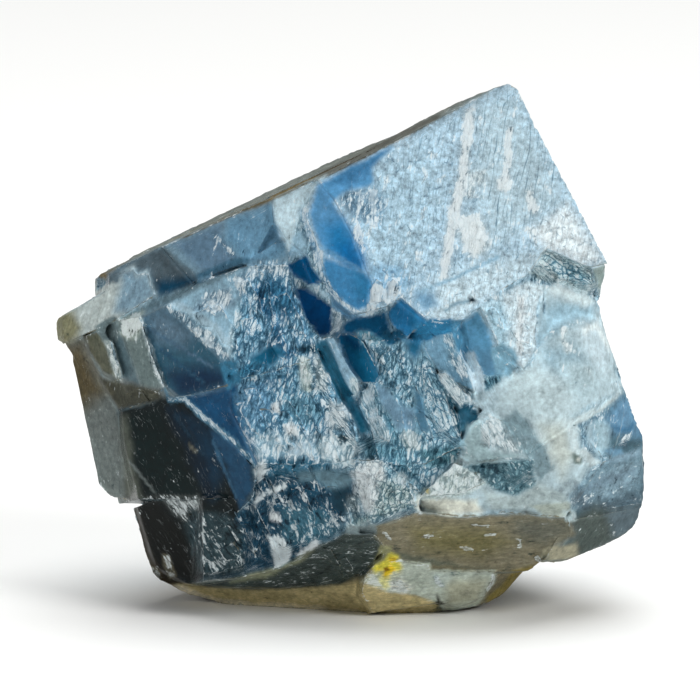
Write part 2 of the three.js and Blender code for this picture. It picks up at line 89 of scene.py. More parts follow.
def node(tree, kind, inputs=None, **settings):
    """Adds one shader node: its settings, then each input, as a link from another node's first
    live output or from a socket, or else as a plain value."""
    made = tree.nodes.new("ShaderNode" + kind)
    for name, setting in settings.items():
        setattr(made, name, setting)
    for name, given in (inputs or {}).items():
        if isinstance(given, bpy.types.Node):
            given = next(output for output in given.outputs if output.enabled)
        if isinstance(given, bpy.types.NodeSocket):
            tree.links.new(given, made.inputs[name])
        else:
            made.inputs[name].default_value = given
    return made


table_mesh = bpy.data.meshes.new("table")
table_mesh.from_pydata(
    [(x * TABLE_HALF, y * TABLE_HALF, 0) for x, y in ((-1, -1), (1, -1), (1, 1), (-1, 1))],
    [], [(0, 1, 2, 3)])
table = bpy.data.objects.new("table", table_mesh)
bpy.context.scene.collection.objects.link(table)
# Matt white laminate: no gloss, so that only the soft shadow shows on it.
laminate = bpy.data.materials.new("matt white laminate")
laminate.use_nodes = True
laminate_shader = laminate.node_tree.nodes["Principled BSDF"]
laminate_shader.inputs["Base Color"].default_value = (*linear(TABLE_COLOUR), 1)
laminate_shader.inputs["Roughness"].default_value = 0.9
laminate_shader.inputs["Specular IOR Level"].default_value = 0.1
table_mesh.materials.append(laminate)

room = bpy.data.worlds.new("pale room")
room.use_nodes = True
room.node_tree.nodes["Background"].inputs["Color"].default_value = ROOM_COLOUR
room.node_tree.nodes["Background"].inputs["Strength"].default_value = ROOM_LIGHT
bpy.context.scene.world = room

for name, (lamp_place, lamp_width, power) in LAMPS.items():
    lamp = bpy.data.objects.new(name, bpy.data.lights.new(name, "AREA"))
    lamp.data.energy = power
    lamp.data.size = lamp_width
    lamp.location = lamp_place
    aim = Vector(MIDDLE) - Vector(lamp_place)
    lamp.rotation_euler = aim.to_track_quat("-Z", "Y").to_euler()
    bpy.context.scene.collection.objects.link(lamp)

# --- The calcite ------------------------------------------------------------------------
# One piece of raw blue calcite, broken by hand along its three cleavages and not worked
# since: smooth clear cleavage faces, frosted and flaky breaks, a thin olive rind on top and
# below, and one small yellow limonite stain.
#
# It is described in its own directions, in millimetres: u along the great face to the
# right, v up it and w out of it, with zero at the camera's aim.
FINE_EDGE = 0.62                        # longest mesh edge on the front, in millimetres
COARSE_EDGE = 1.7                       # and on the rest
FACES_FRONT = 0.05                      # w of the normals of what faces the front at all
ON_ONE_FLAT = 0.9998                    # cosine of the angle between two normals


def to_stone(places):
    """Turns places in metres into (u, v, w): the lean is taken off about the X axis."""
    x, y, z = ((np.asarray(places) - MIDDLE) * 1000).T
    return np.stack([x, y * math.sin(LEAN) + z * math.cos(LEAN),
                     -y * math.cos(LEAN) + z * math.sin(LEAN)], axis=1)


def from_stone(points):
    """The other way: (u, v, w) in millimetres into places in metres."""
    u, v, w = np.asarray(points).T
    return MIDDLE + np.stack([u, v * math.sin(LEAN) - w * math.cos(LEAN),
                              v * math.cos(LEAN) + w * math.sin(LEAN)], axis=1) / 1000


def merged(mesh):
    """Points and triangles of a mesh of loose triangles, with equal points made one."""
    places = np.empty(3 * len(mesh.vertices))
    mesh.vertices.foreach_get("co", places)
    corners = np.empty(len(mesh.loops), dtype=np.int64)
    mesh.loops.foreach_get("vertex_index", corners)
    places = places.reshape(-1, 3)
    _, first, same = np.unique(np.round(places * 1e7), axis=0, return_index=True,
                               return_inverse=True)
    triangles = same.reshape(-1)[corners].reshape(-1, 3)
    whole = (triangles != np.roll(triangles, -1, axis=1)).all(axis=1)
    return to_stone(places[first]), triangles[whole]


def unit(vectors):
    """Each vector divided by its length."""
    return vectors / np.maximum(np.linalg.norm(vectors, axis=1, keepdims=True), 1e-12)


def crossed_sides(points, triangles):
    """Cross product of two sides of each triangle: along its normal, and twice its area long."""
    a, b, c = (points[triangles[:, i]] for i in range(3))
    return np.cross(b - a, c - a)


def sides_of(triangles, count):
    """Each triangle side as one whole number, lower point times count plus higher point."""
    ends = np.roll(triangles, -1, axis=1)
    return np.minimum(triangles, ends) * count + np.maximum(triangles, ends)


def split_once(points, triangles, longest):
    """Halves every side longer than its limit. A side's middle is shared by both triangles,
    and a triangle with one, two or three halved sides becomes two, three or four."""
    edges, which = np.unique(sides_of(triangles, len(points)), return_inverse=True)
    which = which.reshape(-1, 3)
    limit = np.full(len(edges), np.inf)
    np.minimum.at(limit, which.reshape(-1), np.repeat(longest, 3))
    ends = np.stack([edges // len(points), edges % len(points)], axis=1)
    halved = np.linalg.norm(points[ends[:, 0]] - points[ends[:, 1]], axis=1) > limit
    middle = np.full(len(edges), -1)
    middle[halved] = len(points) + np.arange(halved.sum())
    points = np.concatenate([points, points[ends[halved]].mean(axis=1)])
    # Each triangle is turned so that one with one halved side has it first, and one with two
    # has its whole side last. Its corners are then 0, 1 and 2, and the middles of its sides
    # 3, 4 and 5.
    cut = halved[which]
    count = cut.sum(axis=1)
    turn = np.where(count == 1, cut.argmax(axis=1), 0)
    turn = np.where(count == 2, (cut.argmin(axis=1) + 1) % 3, turn)
    order = (turn[:, None] + np.arange(3)) % 3
    six = np.concatenate([np.take_along_axis(triangles, order, axis=1),
                          np.take_along_axis(middle[which], order, axis=1)], axis=1)
    parts = [(0, (0, 1, 2)), (1, (0, 3, 2)), (1, (3, 1, 2)), (2, (3, 1, 4)), (2, (0, 3, 4)),
             (2, (0, 4, 2)), (3, (0, 3, 5)), (3, (3, 1, 4)), (3, (5, 4, 2)), (3, (3, 4, 5))]
    triangles = np.concatenate([six[count == sides][:, corners] for sides, corners in parts])
    return points, triangles, halved.any()


def evened(points, triangles, rounds=5):
    """Turns the shared side of two triangles on one flat, where the angles across from it add
    up to more than half a turn, so that thin triangles become full ones. Of the sides of a
    triangle that could be turned, the worst is turned in a round."""
    for _ in range(rounds):
        sides = sides_of(triangles, len(points)).reshape(-1)
        order = np.argsort(sides, kind="stable")
        pair = np.flatnonzero(sides[order[1:]] == sides[order[:-1]])
        first, second = order[pair], order[pair + 1]
        t0, t1 = first // 3, second // 3
        a, b = triangles[t0, first % 3], triangles[t0, (first + 1) % 3]
        c, d = triangles[t0, (first + 2) % 3], triangles[t1, (second + 2) % 3]
        normal = unit(crossed_sides(points, triangles))
        flat = (normal[t0] * normal[t1]).sum(axis=1) > ON_ONE_FLAT

        def cotangent(tip):
            one, other = points[a] - points[tip], points[b] - points[tip]
            area = np.linalg.norm(np.cross(one, other), axis=1)
            return (one * other).sum(axis=1) / np.maximum(area, 1e-9)

        worth = -(cotangent(c) + cotangent(d))
        could = flat & (worth > 1e-3) & (a != b) & (c != d)
        best = np.zeros(len(triangles))
        np.maximum.at(best, t0[could], worth[could])
        np.maximum.at(best, t1[could], worth[could])
        turn = could & (worth == best[t0]) & (worth == best[t1])
        if not turn.any():
            break
        triangles = triangles.copy()
        triangles[t0[turn]] = np.stack([a[turn], d[turn], c[turn]], axis=1)
        triangles[t1[turn]] = np.stack([d[turn], b[turn], c[turn]], axis=1)
    return triangles


def refined(points, triangles):
    """Splits again and again until no side is longer than its triangle's limit, fine where
    the surface faces the front and coarse elsewhere, and evens the triangles each time."""
    more = True
    while more:
        triangles = evened(points, triangles)
        front = unit(crossed_sides(points, triangles))[:, 2] > FACES_FRONT
        points, triangles, more = split_once(points, triangles,
                                             np.where(front, FINE_EDGE, COARSE_EDGE))
    return points, triangles


def lattice_random(cells, seed):
    """A repeatable random number from 0 to 1 for each cell of whole numbers, by mixing its
    three numbers and the seed with large odd factors."""
    u, v, w = (cells[..., i].astype(np.int64) for i in range(3))
    mixed = (u * 73856093) ^ (v * 19349663) ^ (w * 83492791) ^ (seed * 2654435761)
    mixed = (mixed ^ (mixed >> 13)) * 1274126177 & 0xFFFFFFFF
    mixed = (mixed ^ (mixed >> 15)) * 2246822519 & 0xFFFFFFFF
    return ((mixed ^ (mixed >> 16)) & 0xFFFFFF) / 0xFFFFFF


def mottle(points, size, seed, octaves=3):
    """Smooth random value from -1 to 1. A random number stands at each corner of a lattice
    of the given size and is blended by 3t^2 - 2t^3; each octave is half the size and height."""
    total = np.zeros(len(points))
    for octave in range(octaves):
        p = points * 2 ** octave / np.asarray(size, dtype=float)
        cell = np.floor(p)
        t = p - cell
        t = t * t * (3 - 2 * t)
        value = 0
        for corner in np.ndindex(2, 2, 2):
            weight = np.prod(np.where(corner, t, 1 - t), axis=1)
            value = value + weight * lattice_random(cell + corner, seed + octave)
        total += (2 * value - 1) * 0.5 ** octave
    return total / 1.6


def along_grain(points, angle, length, width):
    """Points in a frame turned by `angle` degrees about w, with the run along that angle
    divided by length and the runs across it by width, so that a round cell becomes a splinter."""
    a = math.radians(angle)
    u, v, w = points.T
    return np.stack([(u * math.cos(a) + v * math.sin(a)) / length,
                     (-u * math.sin(a) + v * math.cos(a)) / width, w / width], axis=1)


def splinters(points, seed):
    """Random height from 0 to 1 of the splinter that holds each point, and how far in from its
    border it is: one seed point is thrown in each lattice cell, and the nearest one wins."""
    home = np.floor(points)
    nearest = np.full(len(points), 9.0)
    second = np.full(len(points), 9.0)
    height = np.zeros(len(points))
    for step in np.ndindex(3, 3, 3):
        cell = home + np.array(step) - 1
        thrown = cell + np.stack([lattice_random(cell, seed + k) for k in range(3)], axis=1)
        away = np.linalg.norm(thrown - points, axis=1)
        closer = away < nearest
        second = np.where(closer, nearest, np.minimum(second, away))
        nearest = np.where(closer, away, nearest)
        height = np.where(closer, lattice_random(cell, seed + 7), height)
    return height, second - nearest


def depth_inside(outline, u, v):
    """Distance in millimetres from each point to an outline, positive inside it."""
    corners = np.asarray(outline, dtype=float)
    away = np.full(len(u), np.inf)
    within = np.zeros(len(u), dtype=bool)
    for (au, av), (bu, bv) in zip(corners, np.roll(corners, -1, axis=0)):
        du, dv = bu - au, bv - av
        along = np.clip(((u - au) * du + (v - av) * dv) / (du * du + dv * dv), 0, 1)
        away = np.minimum(away, np.hypot(u - au - along * du, v - av - along * dv))
        crossed = (av > v) != (bv > v)
        within ^= crossed & (u < au + (v - av) * du / (dv if dv else 1e-9))
    return np.where(within, away, -away)


def rise(value, low, high):
    """Goes from 0 to 1 between low and high, as 3t^2 - 2t^3."""
    t = np.clip((value - low) / (high - low), 0, 1)
    return t * t * (3 - 2 * t)


def blend(under, over, share):
    """Rows of under times (1 - share), plus over times share."""
    share = share[:, None]
    return np.asarray(under) * (1 - share) + np.asarray(over) * share


# How each kind of surface is left, mostly as shares from 0 to 1. white: upstanding splinters
# that scatter the light; cleft: dark gaps between them, their dark partly painted shade; cells:
# outlines of the single splinters; network and lines: fine cleavage cracks, in polygons and in
# steep parallel lines; veil: cloudiness inside the stone; specks: tiny white chips; rough: the
# gloss, from clear to frosted; relief: the height of the splinters in millimetres; soften: how
# far the edges are worn round.
FINISH = ("white", "cleft", "cells", "network", "lines", "veil", "specks", "rough", "relief",
          "soften")
FINISHES = {
    "clear":    (0.00, 0.00, 0.00, 0.00, 0.00, 0.40, 0.50, 0.12, 0.00, 0.00),
    "scuffed":  (0.03, 0.03, 0.00, 0.00, 0.00, 0.90, 1.30, 0.16, 0.02, 0.00),
    "speckled": (0.24, 0.24, 0.30, 0.00, 0.00, 0.90, 1.60, 0.40, 0.08, 0.00),
    "fibrous":  (0.34, 0.32, 0.40, 0.00, 0.00, 0.60, 1.50, 0.36, 0.22, 0.00),
    "glassy":   (0.07, 0.05, 0.00, 0.00, 0.00, 0.50, 1.00, 0.18, 0.03, 0.00),
    "satin":    (0.15, 0.14, 0.15, 0.10, 0.00, 0.70, 0.50, 0.34, 0.06, 0.10),
    "flaky":    (0.46, 0.29, 0.95, 0.00, 0.00, 0.30, 0.00, 0.42, 0.32, 0.00),
    "sparse":   (0.32, 0.38, 0.80, 0.00, 0.00, 0.30, 0.80, 0.34, 0.26, 0.00),
    "snowy":    (0.58, 0.16, 0.60, 0.00, 0.00, 0.30, 0.00, 0.60, 0.20, 0.10),
    "crackled": (0.26, 0.06, 0.00, 1.00, 0.60, 0.30, 0.00, 0.36, 0.03, 0.00),
    "crumbly":  (0.80, 0.15, 0.70, 0.00, 0.00, 0.00, 0.00, 0.60, 0.10, 0.00),
    "bruised":  (0.80, 0.12, 0.30, 0.00, 0.00, 0.00, 0.00, 0.60, 0.03, 0.00),
    "lined":    (0.22, 0.08, 0.00, 0.60, 1.00, 0.20, 0.00, 0.36, 0.03, 0.00),
    "milky":    (0.12, 0.03, 0.00, 0.10, 0.00, 1.00, 0.30, 0.46, 0.10, 0.80),
    "filled":   (0.14, 0.12, 0.20, 0.00, 0.00, 0.40, 0.00, 0.34, 0.00, 1.00),
    "rind":     (0.12, 0.16, 0.25, 0.00, 0.00, 0.50, 0.40, 0.62, 0.08, 0.30),
}
# The way that the splinters run, in degrees from level. On the front they nearly everywhere
# stand steep, in the first direction; some lean back in the second, and the rind is streaked
# along its faces. Each angle below holds inside its outline of (u, v). On the far side the
# first two take turns.
STEEP = 78
LEANING = 114
GRAIN = [
    (114, [(-5.2, 2), (-2.2, 2.4), (2, -5), (4.5, -12), (1, -13), (-2.5, -8), (-4.2, -3)]),
    (114, [(9.4, 1.6), (12, -2.4), (17, -9), (16, -14), (12, -11), (9.6, -6)]),
    (122, [(-31, -8), (-20, -6), (-12.6, -14), (-14, -31), (-30, -31)]),
    (114, [(10, 4), (18, 4), (24, -4), (28, -16), (22, -18), (16, -9)]),
    (104, [(-10, -17), (2, -17), (2, -25), (-12, -28)]),
    (28, [(-34, 9), (-37, 12), (20, 39), (22, 36), (4, 27), (-12, 19)]),
    (148, [(24, 12), (26.5, 14), (33, 11), (34, 8), (28, 9)]),
    (4, [(-34, -31), (-10, -31), (2, -25), (9, -21.8), (30, -22.4), (31, -38), (-34, -38)]),
    (28, [(-22, -32), (-5, -27), (2.6, -24), (5, -27.4), (1.6, -31), (-10, -32.6)]),
    (22, [(30, -15), (40, -12), (40, -21), (30, -22)]),
]

# The front's surfaces, from the ones behind to the ones in front: finish, colour, width of
# the soft border in millimetres, and outline as (u, v).
SURFACES = {
    "whole front": ("flaky", "#9EC0D0", 1, [(-42, -38), (-42, 38), (42, 38), (42, -38)]),
    "whole foot": ("rind", "#7A745C", 0.8, [
        (-40, -24), (-22, -31.2), (-10, -29.6), (0, -24.8), (9, -22.2), (30, -23), (40, -27),
        (31, -40), (-40, -40)]),
    "whole left end": ("satin", "#5E6158", 0.8, [
        (-42, 2), (-36, 1.4), (-31.4, -8), (-29, -21), (-42, -21)]),
    # the top edge, seen along its weathered face
    "top rind": ("rind", "#6C6044", 0.3, [
        (-33, 9), (-36, 12), (20, 38), (21.5, 35.6), (19, 35.3), (15, 33), (10, 30.2), (6, 28),
        (0, 24.9), (-3.2, 23.4), (-5, 22.9), (-10, 20.3), (-15, 18.1), (-17, 17.5), (-25, 14.2),
        (-30, 11.8), (-32.4, 10.2)]),
    "top rind, dark": ("rind", "#453F32", 0.35, [
        (-3.2, 23.6), (0, 25.1), (6, 28.2), (12, 31.3), (12, 32.1), (5, 28.9), (-2, 25.2),
        (-5, 23.6)]),
    # upper left: slate faces
    "slate band": ("glassy", "#688290", 0.35, [
        (-33, 7.5), (-32.7, 10.2), (-30, 11.9), (-25, 14.3), (-17, 17.6), (-10, 20.4), (-7.7, 14.3),
        (-8.2, 11.4), (-14, 11.4), (-20, 9.2), (-26, 7.2)]),
    "slate band, left end": ("glassy", "#4F6069", 0.5, [
        (-33, 7.5), (-32.7, 10.2), (-30, 11.9), (-27, 13.3), (-25.3, 13.9), (-22, 11.3),
        (-19.3, 9.5), (-20, 9.2), (-26, 7.2)]),
    "slate band, teal foot": ("clear", "#10405A", 1, [
        (-26, 7), (-26, 9.2), (-24, 9.6), (-21.5, 9.7), (-20, 9.2)]),
    "slate band, pale edge": ("satin", "#6E8B9B", 0.5, [
        (-25.3, 14.2), (-24.8, 13.9), (-22, 11.3), (-19.6, 9.7), (-21.3, 11.9), (-23.5, 14)]),
    "slate band, middle": ("glassy", "#587489", 0.8, [
        (-24, 14.3), (-17.3, 17.2), (-17, 14.5), (-15.2, 11.8), (-19, 9.8)]),
    "slate band, teal edge": ("clear", "#124A6C", 0.8, [
        (-18.3, 9.7), (-14.6, 11.2), (-14.8, 12.4), (-17.5, 11.2)]),
    "slate band, right": ("satin", "#648EA8", 0.8, [
        (-16.6, 17.4), (-10.6, 19.9), (-9.4, 15.6), (-8.4, 13.2), (-11, 11.9), (-14.6, 11.8),
        (-16.8, 14.8)]),
    "slate band, bright scuff": ("snowy", "#688CA3", 0.35, [
        (-18.8, 15.8), (-17.6, 15.6), (-15.2, 12.4), (-14.4, 11.6), (-15.2, 11.8), (-17.5, 14.2)]),
    "wedge": ("satin", "#D8F2FC", 0.4, [
        (-10.6, 19.9), (-10, 20.4), (-4.5, 22.8), (-3.3, 23.8), (-4.6, 22.2), (-6.6, 19),
        (-7.2, 16.5), (-7.8, 14.6), (-8.4, 13.4), (-10, 17)]),
    "wedge foot": ("satin", "#93B6C9", 0.4, [
        (-8.3, 13.6), (-7.8, 15), (-6.6, 15.8), (-5.6, 14), (-6.2, 12.8), (-8, 12.6)]),
    # left tip and its columns
    "left tip": ("satin", "#B0BBB9", 0.3, [
        (-41, 3), (-40, 5.5), (-33, 8.8), (-31.3, 9), (-31, 10.3), (-29.2, 11.6), (-28.7, 10.2),
        (-27.3, 10.9), (-26, 7.3), (-31, 4.2), (-33.2, 3), (-36, 2), (-38.5, 0.2)]),
    "left tip, blue end": ("satin", "#7B99AA", 0.9, [
        (-32, 5), (-31, 9), (-31, 10.3), (-29.2, 11.3), (-28.7, 10.2), (-27.3, 10.7), (-26, 7.3),
        (-30, 4.9)]),
    "left tip, worn corner": ("rind", "#858468", 0.9, [
        (-41, 2), (-40, 5.2), (-37.6, 5.6), (-36.4, 3), (-37, 1.6), (-38.5, 0)]),
    "step below the band": ("satin", "#667F8A", 0.25, [
        (-33.4, 2.9), (-31, 4.2), (-26, 6.9), (-20, 9.3), (-14.6, 11.4), (-14.6, 10.7), (-20, 8.2),
        (-25, 5.7), (-28.5, 4.6), (-31.4, 3.6)]),
    "left columns": ("glassy", "#748286", 0.3, [
        (-36.2, 2), (-33.2, 3), (-31, 4), (-28.3, 4.6), (-25.2, 5.9), (-23, -6.4), (-27, -7.2),
        (-31.3, -8.2), (-33.5, -3)]),
    "first column": ("rind", "#5E6152", 0.35, [
        (-36, 2), (-33.3, 3), (-32, 1), (-30.6, -3.5), (-31, -4.2), (-33.5, -3), (-35.5, 0)]),
    "first column, bright edge": ("snowy", "#C4D0CC", 0.2, [
        (-33.9, 2.8), (-33, 2.9), (-31.9, 0.8), (-30.7, -3.4), (-30.9, -4.2), (-31.7, -3.8),
        (-32.6, -0.8)]),
    "second column": ("glassy", "#566C74", 0.3, [
        (-33, 3), (-31.4, 3.7), (-29.8, -0.5), (-28.3, -5), (-29.6, -4.6), (-30.6, -3.5),
        (-31.9, 0.9)]),
    "third column": ("satin", "#667676", 0.3, [
        (-31.3, 3.7), (-28.3, 4.5), (-26.7, -0.5), (-24.9, -5), (-26.4, -5), (-28.3, -5),
        (-29.7, -0.8)]),
    "third column, pale top": ("bruised", "#CBDACF", 0.6, [
        (-31.3, 3.7), (-28, 5.2), (-27.6, 3.2), (-29, 1.6), (-30.6, 2)]),
    "third column, pale edge": ("bruised", "#C6DADD", 0.2, [
        (-28.4, 4.5), (-27.9, 4.3), (-26.3, -0.5), (-24.7, -5), (-25.4, -5), (-27.1, -0.7)]),
    "column foot": ("rind", "#4B4C42", 0.5, [
        (-34.2, -3.2), (-31, -4.2), (-28.3, -5), (-25.6, -5.2), (-25, -7), (-31.3, -8.3),
        (-33.2, -5.4)]),
    # left side face
    "left side": ("satin", "#666E6C", 0.4, [
        (-38.6, 0.4), (-36, 1.9), (-35.5, -0.4), (-33.5, -3.4), (-32.8, -5.6), (-31.4, -8.2),
        (-30.9, -12), (-29.7, -17), (-28.5, -20.2), (-30, -21), (-35, -21), (-41, -8), (-41, 0)]),
    "left side, brown": ("rind", "#584E36", 1.8, [
        (-39, 0.6), (-36.2, 1), (-34.6, -2.4), (-33, -5.6), (-36, -8), (-41, -6)]),
    "left side, grey foot": ("satin", "#707A78", 1.6, [
        (-35, -12), (-31.6, -12), (-29.4, -19.4), (-31, -21), (-35.5, -20)]),
    # dark blue face and frosted triangle
    "dark blue face": ("glassy", "#2B5468", 0.3, [
        (-28.1, 4.4), (-25.1, 5.8), (-20, 1.5), (-16.4, -2.3), (-15.4, -4.6), (-20, -5.8),
        (-23, -6.4), (-24.8, -4.9), (-26.6, -0.5)]),
    "dark blue face, slate top": ("satin", "#587385", 1.6, [
        (-28.1, 4.4), (-25.1, 5.8), (-21, 2), (-22.6, 0.4), (-26, 1)]),
    "dark blue face, deep foot": ("clear", "#022844", 1.4, [
        (-24.6, -3), (-20, -2), (-16.6, -2.9), (-15.4, -4.6), (-20, -5.8), (-23, -6.4)]),
    "dark blue face, light edge": ("snowy", "#7FA0B2", 0.25, [
        (-25.1, 5.8), (-22.6, 4.9), (-18.4, 1.4), (-16.3, -0.8), (-15.9, -2.4), (-16.9, -1.9),
        (-20.4, 1.4)]),
    "frosted triangle": ("satin", "#8DB0C2", 0.35, [
        (-25, 6.1), (-20, 8.4), (-14.2, 11.1), (-12, 10), (-13.4, 7.2), (-15, 4.6), (-16.2, -1),
        (-18.2, 1.8), (-22.4, 5.1)]),
    "frosted triangle, white seam": ("snowy", "#DEF4FC", 0.3, [
        (-16.6, -0.8), (-15.9, -0.8), (-15.2, 3.4), (-14.2, 6.3), (-15.2, 5.2), (-16.2, 2.6)]),
    "frosted triangle, pale edge": ("satin", "#A2BECC", 0.3, [
        (-25, 6.1), (-23, 6.6), (-18.2, 3.6), (-15.8, 0.4), (-16.2, -1), (-18.2, 1.8),
        (-22.4, 5.1)]),
    "frosted triangle, foot": ("flaky", "#B2E0F4", 0.6, [
        (-15.6, 5), (-12, 10), (-13.4, 3), (-16, -1)]),
    "frosted triangle, scuffs": ("snowy", "#8EACBE", 0.6, [
        (-21.4, 5.6), (-19.5, 8), (-16.2, 8.6), (-15.6, 6.2), (-18.4, 4.6)]),
    # upper centre
    "upper centre": ("flaky", "#82B4CE", 0.5, [
        (-14, 11), (-12.4, 11.6), (-10.6, 11.4), (-8.6, 10.4), (-7.6, 8.4), (-6.8, 6.5),
        (-5.2, 3.2), (-4.2, 1.6), (-6, -0.6), (-10, -2.6), (-15.4, -4), (-16, -2), (-15, 3)]),
    "upper centre, pale band": ("snowy", "#86AABF", 0.7, [
        (-16, 9.6), (-12.6, 11.9), (-8.6, 12.2), (-7.6, 10.2), (-10, 10.6), (-13, 9.8),
        (-14.6, 7)]),
    "upper centre, dark lobe": ("sparse", "#3C7898", 0.9, [
        (-12, 9), (-9.6, 9.8), (-7.4, 7.6), (-6.8, 5), (-9, 4.2), (-10.4, 5.2), (-12.4, 6.6)]),
    "upper centre, dark streak": ("sparse", "#3A7090", 0.7, [
        (-11, 3.6), (-9.6, 3.4), (-8.4, 0.4), (-6.6, -0.4), (-8.6, -1.6), (-10, 0)]),
    "teal band": ("clear", "#185A78", 0.55, [
        (-13.8, -1), (-10.6, 0.9), (-9.6, 0.2), (-8.6, -0.6), (-10.6, -1.9), (-13.4, -2.6)]),
    "teal band, left": ("sparse", "#4288A8", 0.5, [
        (-15.6, -3.4), (-13.4, -1.4), (-10.6, -2.2), (-14.4, -4.2)]),
    # centre left, below the band
    "centre left": ("flaky", "#7CB0CA", 0.6, [
        (-15.6, -4.2), (-10, -2.4), (-4.4, 0.6), (-2.6, -2.4), (-0.4, -7.4), (1, -11.4),
        (-0.6, -12), (-5, -11), (-12.6, -11.6), (-14, -10)]),
    "centre left, blue side": ("sparse", "#80B2D0", 1.4, [
        (-15.4, -4.6), (-11, -4), (-10.4, -8.4), (-12.8, -10.6), (-14.6, -7)]),
    "centre left, deep part": ("sparse", "#74A4B8", 1.2, [
        (-9.2, -6.4), (-5.6, -5.8), (-4, -8.2), (-5.6, -10.6), (-8.6, -9.8)]),
    "cleft over the tongue": ("sparse", "#245468", 0.3, [
        (-8, 0.3), (-5, 0.8), (-3, 0.2), (-2.6, -1), (-4, -0.5), (-6.6, -0.5)]),
    "cleft down the lobe": ("sparse", "#28698E", 0.3, [
        (-12.8, 8.6), (-12, 8.8), (-11.6, 6), (-10, 4.7), (-10.4, 4), (-12.4, 5.4)]),
    "white tongue": ("snowy", "#E8FCF6", 0.35, [
        (-7, -0.9), (-5.8, -1), (-5.2, -3), (-5.4, -5.8), (-6.6, -5.4), (-7, -3.2)]),
    "pale fibres": ("snowy", "#8EA6AE", 0.6, [
        (-4.8, -0.6), (-3.6, -0.8), (-2.8, -3.4), (-3.4, -5.6), (-4.8, -5.4)]),
    "white spot, left": ("bruised", "#F4FAFC", 0.3, [
        (-10.6, -7.2), (-9.6, -7), (-9.6, -8.4), (-10.6, -8.2)]),
    "white spot, middle": ("bruised", "#E8EEF0", 0.35, [
        (-8.8, -10), (-7.6, -9.8), (-7, -11.8), (-8.8, -11.6)]),
    "pale shoulder": ("snowy", "#86A3B0", 0.6, [
        (-3, -6.8), (-1, -7), (0.2, -9), (-0.4, -11), (-3, -11), (-3.4, -8.6)]),
    "white belt": ("snowy", "#AED4E6", 0.8, [
        (-13, -11.4), (-5, -11.8), (-4, -13.6), (-5.6, -14.8), (-9, -14.4), (-12.4, -16.2),
        (-13.6, -14.2)]),
    "pale heart": ("snowy", "#A0C0CC", 0.6, [
        (-4, -11.6), (0.6, -11.4), (1.4, -13.6), (0.4, -16), (-2.4, -15.8), (-5, -14.6)]),
    "black spot": ("sparse", "#234350", 0.35, [
        (-1.8, -11.4), (-0.4, -11.4), (-0.2, -12.4), (-1.4, -12.6)]),
    # right of centre
    "right centre": ("flaky", "#98C4D6", 0.6, [
        (1.8, 1.4), (5.5, 1.5), (8, 1.6), (9.6, 2.2), (10, 0), (11.8, -3), (13, -6), (15, -9),
        (15.4, -13), (13, -15.2), (10, -18), (8.8, -21.8), (6, -22), (5, -18), (2.4, -12),
        (1, -7.5), (1.4, -5.5), (3.9, -3.5)]),
    "right centre, deep top": ("clear", "#226080", 0.8, [
        (7, 1.2), (9.4, 2), (9.8, 0.2), (8.8, -1.6), (7.6, -0.6)]),
    "right centre, pale cells": ("snowy", "#9EC6D8", 0.5, [
        (1.2, -5.8), (2.8, -5.4), (3.4, -7.4), (4.6, -9.6), (3.6, -11.8), (2.6, -10.2),
        (1.6, -8.4)]),
    "right centre, pale cells below": ("snowy", "#A4CADA", 0.5, [
        (3.2, -10.4), (5.6, -9.4), (6.2, -11.4), (4.4, -13), (3, -12.4)]),
    "right centre, smooth facet": ("satin", "#6F92A8", 0.4, [
        (3, -4.5), (5, -5), (7, -7.5), (8.8, -8), (8.9, -11), (6.5, -11), (5, -8.6), (4, -6.5)]),
    "right centre, blue sliver": ("clear", "#476F86", 0.3, [
        (8.6, -5.4), (9.6, -6.2), (10.8, -11), (9.4, -11.2), (8.8, -8.8)]),
    "right centre, deep patch": ("sparse", "#80B6CA", 0.8, [
        (1.2, -12), (3, -12.4), (5.8, -13), (6.6, -11.6), (7.4, -14), (8.6, -17.4), (7, -16.4),
        (5, -14.6), (2.4, -14.8)]),
    "right centre, deep foot": ("sparse", "#6092A0", 0.7, [
        (9, -13.6), (14.6, -12.8), (14.6, -14.6), (12.4, -16), (10.4, -15.8)]),
    "cleft beside the cells": ("sparse", "#6CA0B4", 0.3, [
        (4.4, -8.4), (5.1, -8.8), (6.4, -11.6), (6.9, -14), (6, -13.8), (5.5, -11.4)]),
    "cleft by the pale slab": ("sparse", "#2A6478", 0.3, [
        (11.6, -3.4), (12.6, -4.6), (14.8, -8.4), (15.2, -12), (14.4, -12), (13.7, -8.6)]),
    "round pale cell": ("snowy", "#C0DBE4", 0.3, [
        (5.9, -16.8), (7.2, -16.4), (8.2, -17.6), (7.2, -18.6), (6, -18.2)]),
    "grey cell": ("snowy", "#82A0A6", 0.4, [
        (7.4, -10.8), (9, -11.2), (9.4, -13.4), (7.8, -13.6), (7, -12)]),
    # lower centre
    "lower centre": ("fibrous", "#1C485E", 0.7, [
        (-13.4, -16.2), (-9, -14.4), (-5.6, -14.9), (-2, -16), (0.6, -17), (1.2, -20),
        (-0.6, -22.6), (-1.4, -24.6), (-5, -26.9), (-9.6, -29.6), (-15, -31), (-22, -31.4),
        (-20, -24), (-15, -21.6), (-13.6, -20)]),
    "under the white belt": ("fibrous", "#3C748E", 0.8, [
        (-13.6, -14.8), (-11, -14.2), (-8, -15), (-5, -14.4), (-2.4, -15.4), (-3, -16.4), (-7, -17),
        (-13.8, -17)]),
    "lower centre, pale ledge": ("satin", "#63828F", 0.6, [
        (-6.8, -16.6), (-3.6, -16), (0.6, -17), (-0.2, -18.4), (-2.4, -18.8), (-4.6, -17.8),
        (-7, -18)]),
    "lower centre, deepest": ("clear", "#0A303F", 0.6, [
        (-2.6, -18.6), (-0.4, -18.4), (0.2, -20.4), (-0.8, -22.2), (-2.4, -21.4)]),
    "lower centre, streaky": ("fibrous", "#3E6C7E", 1, [
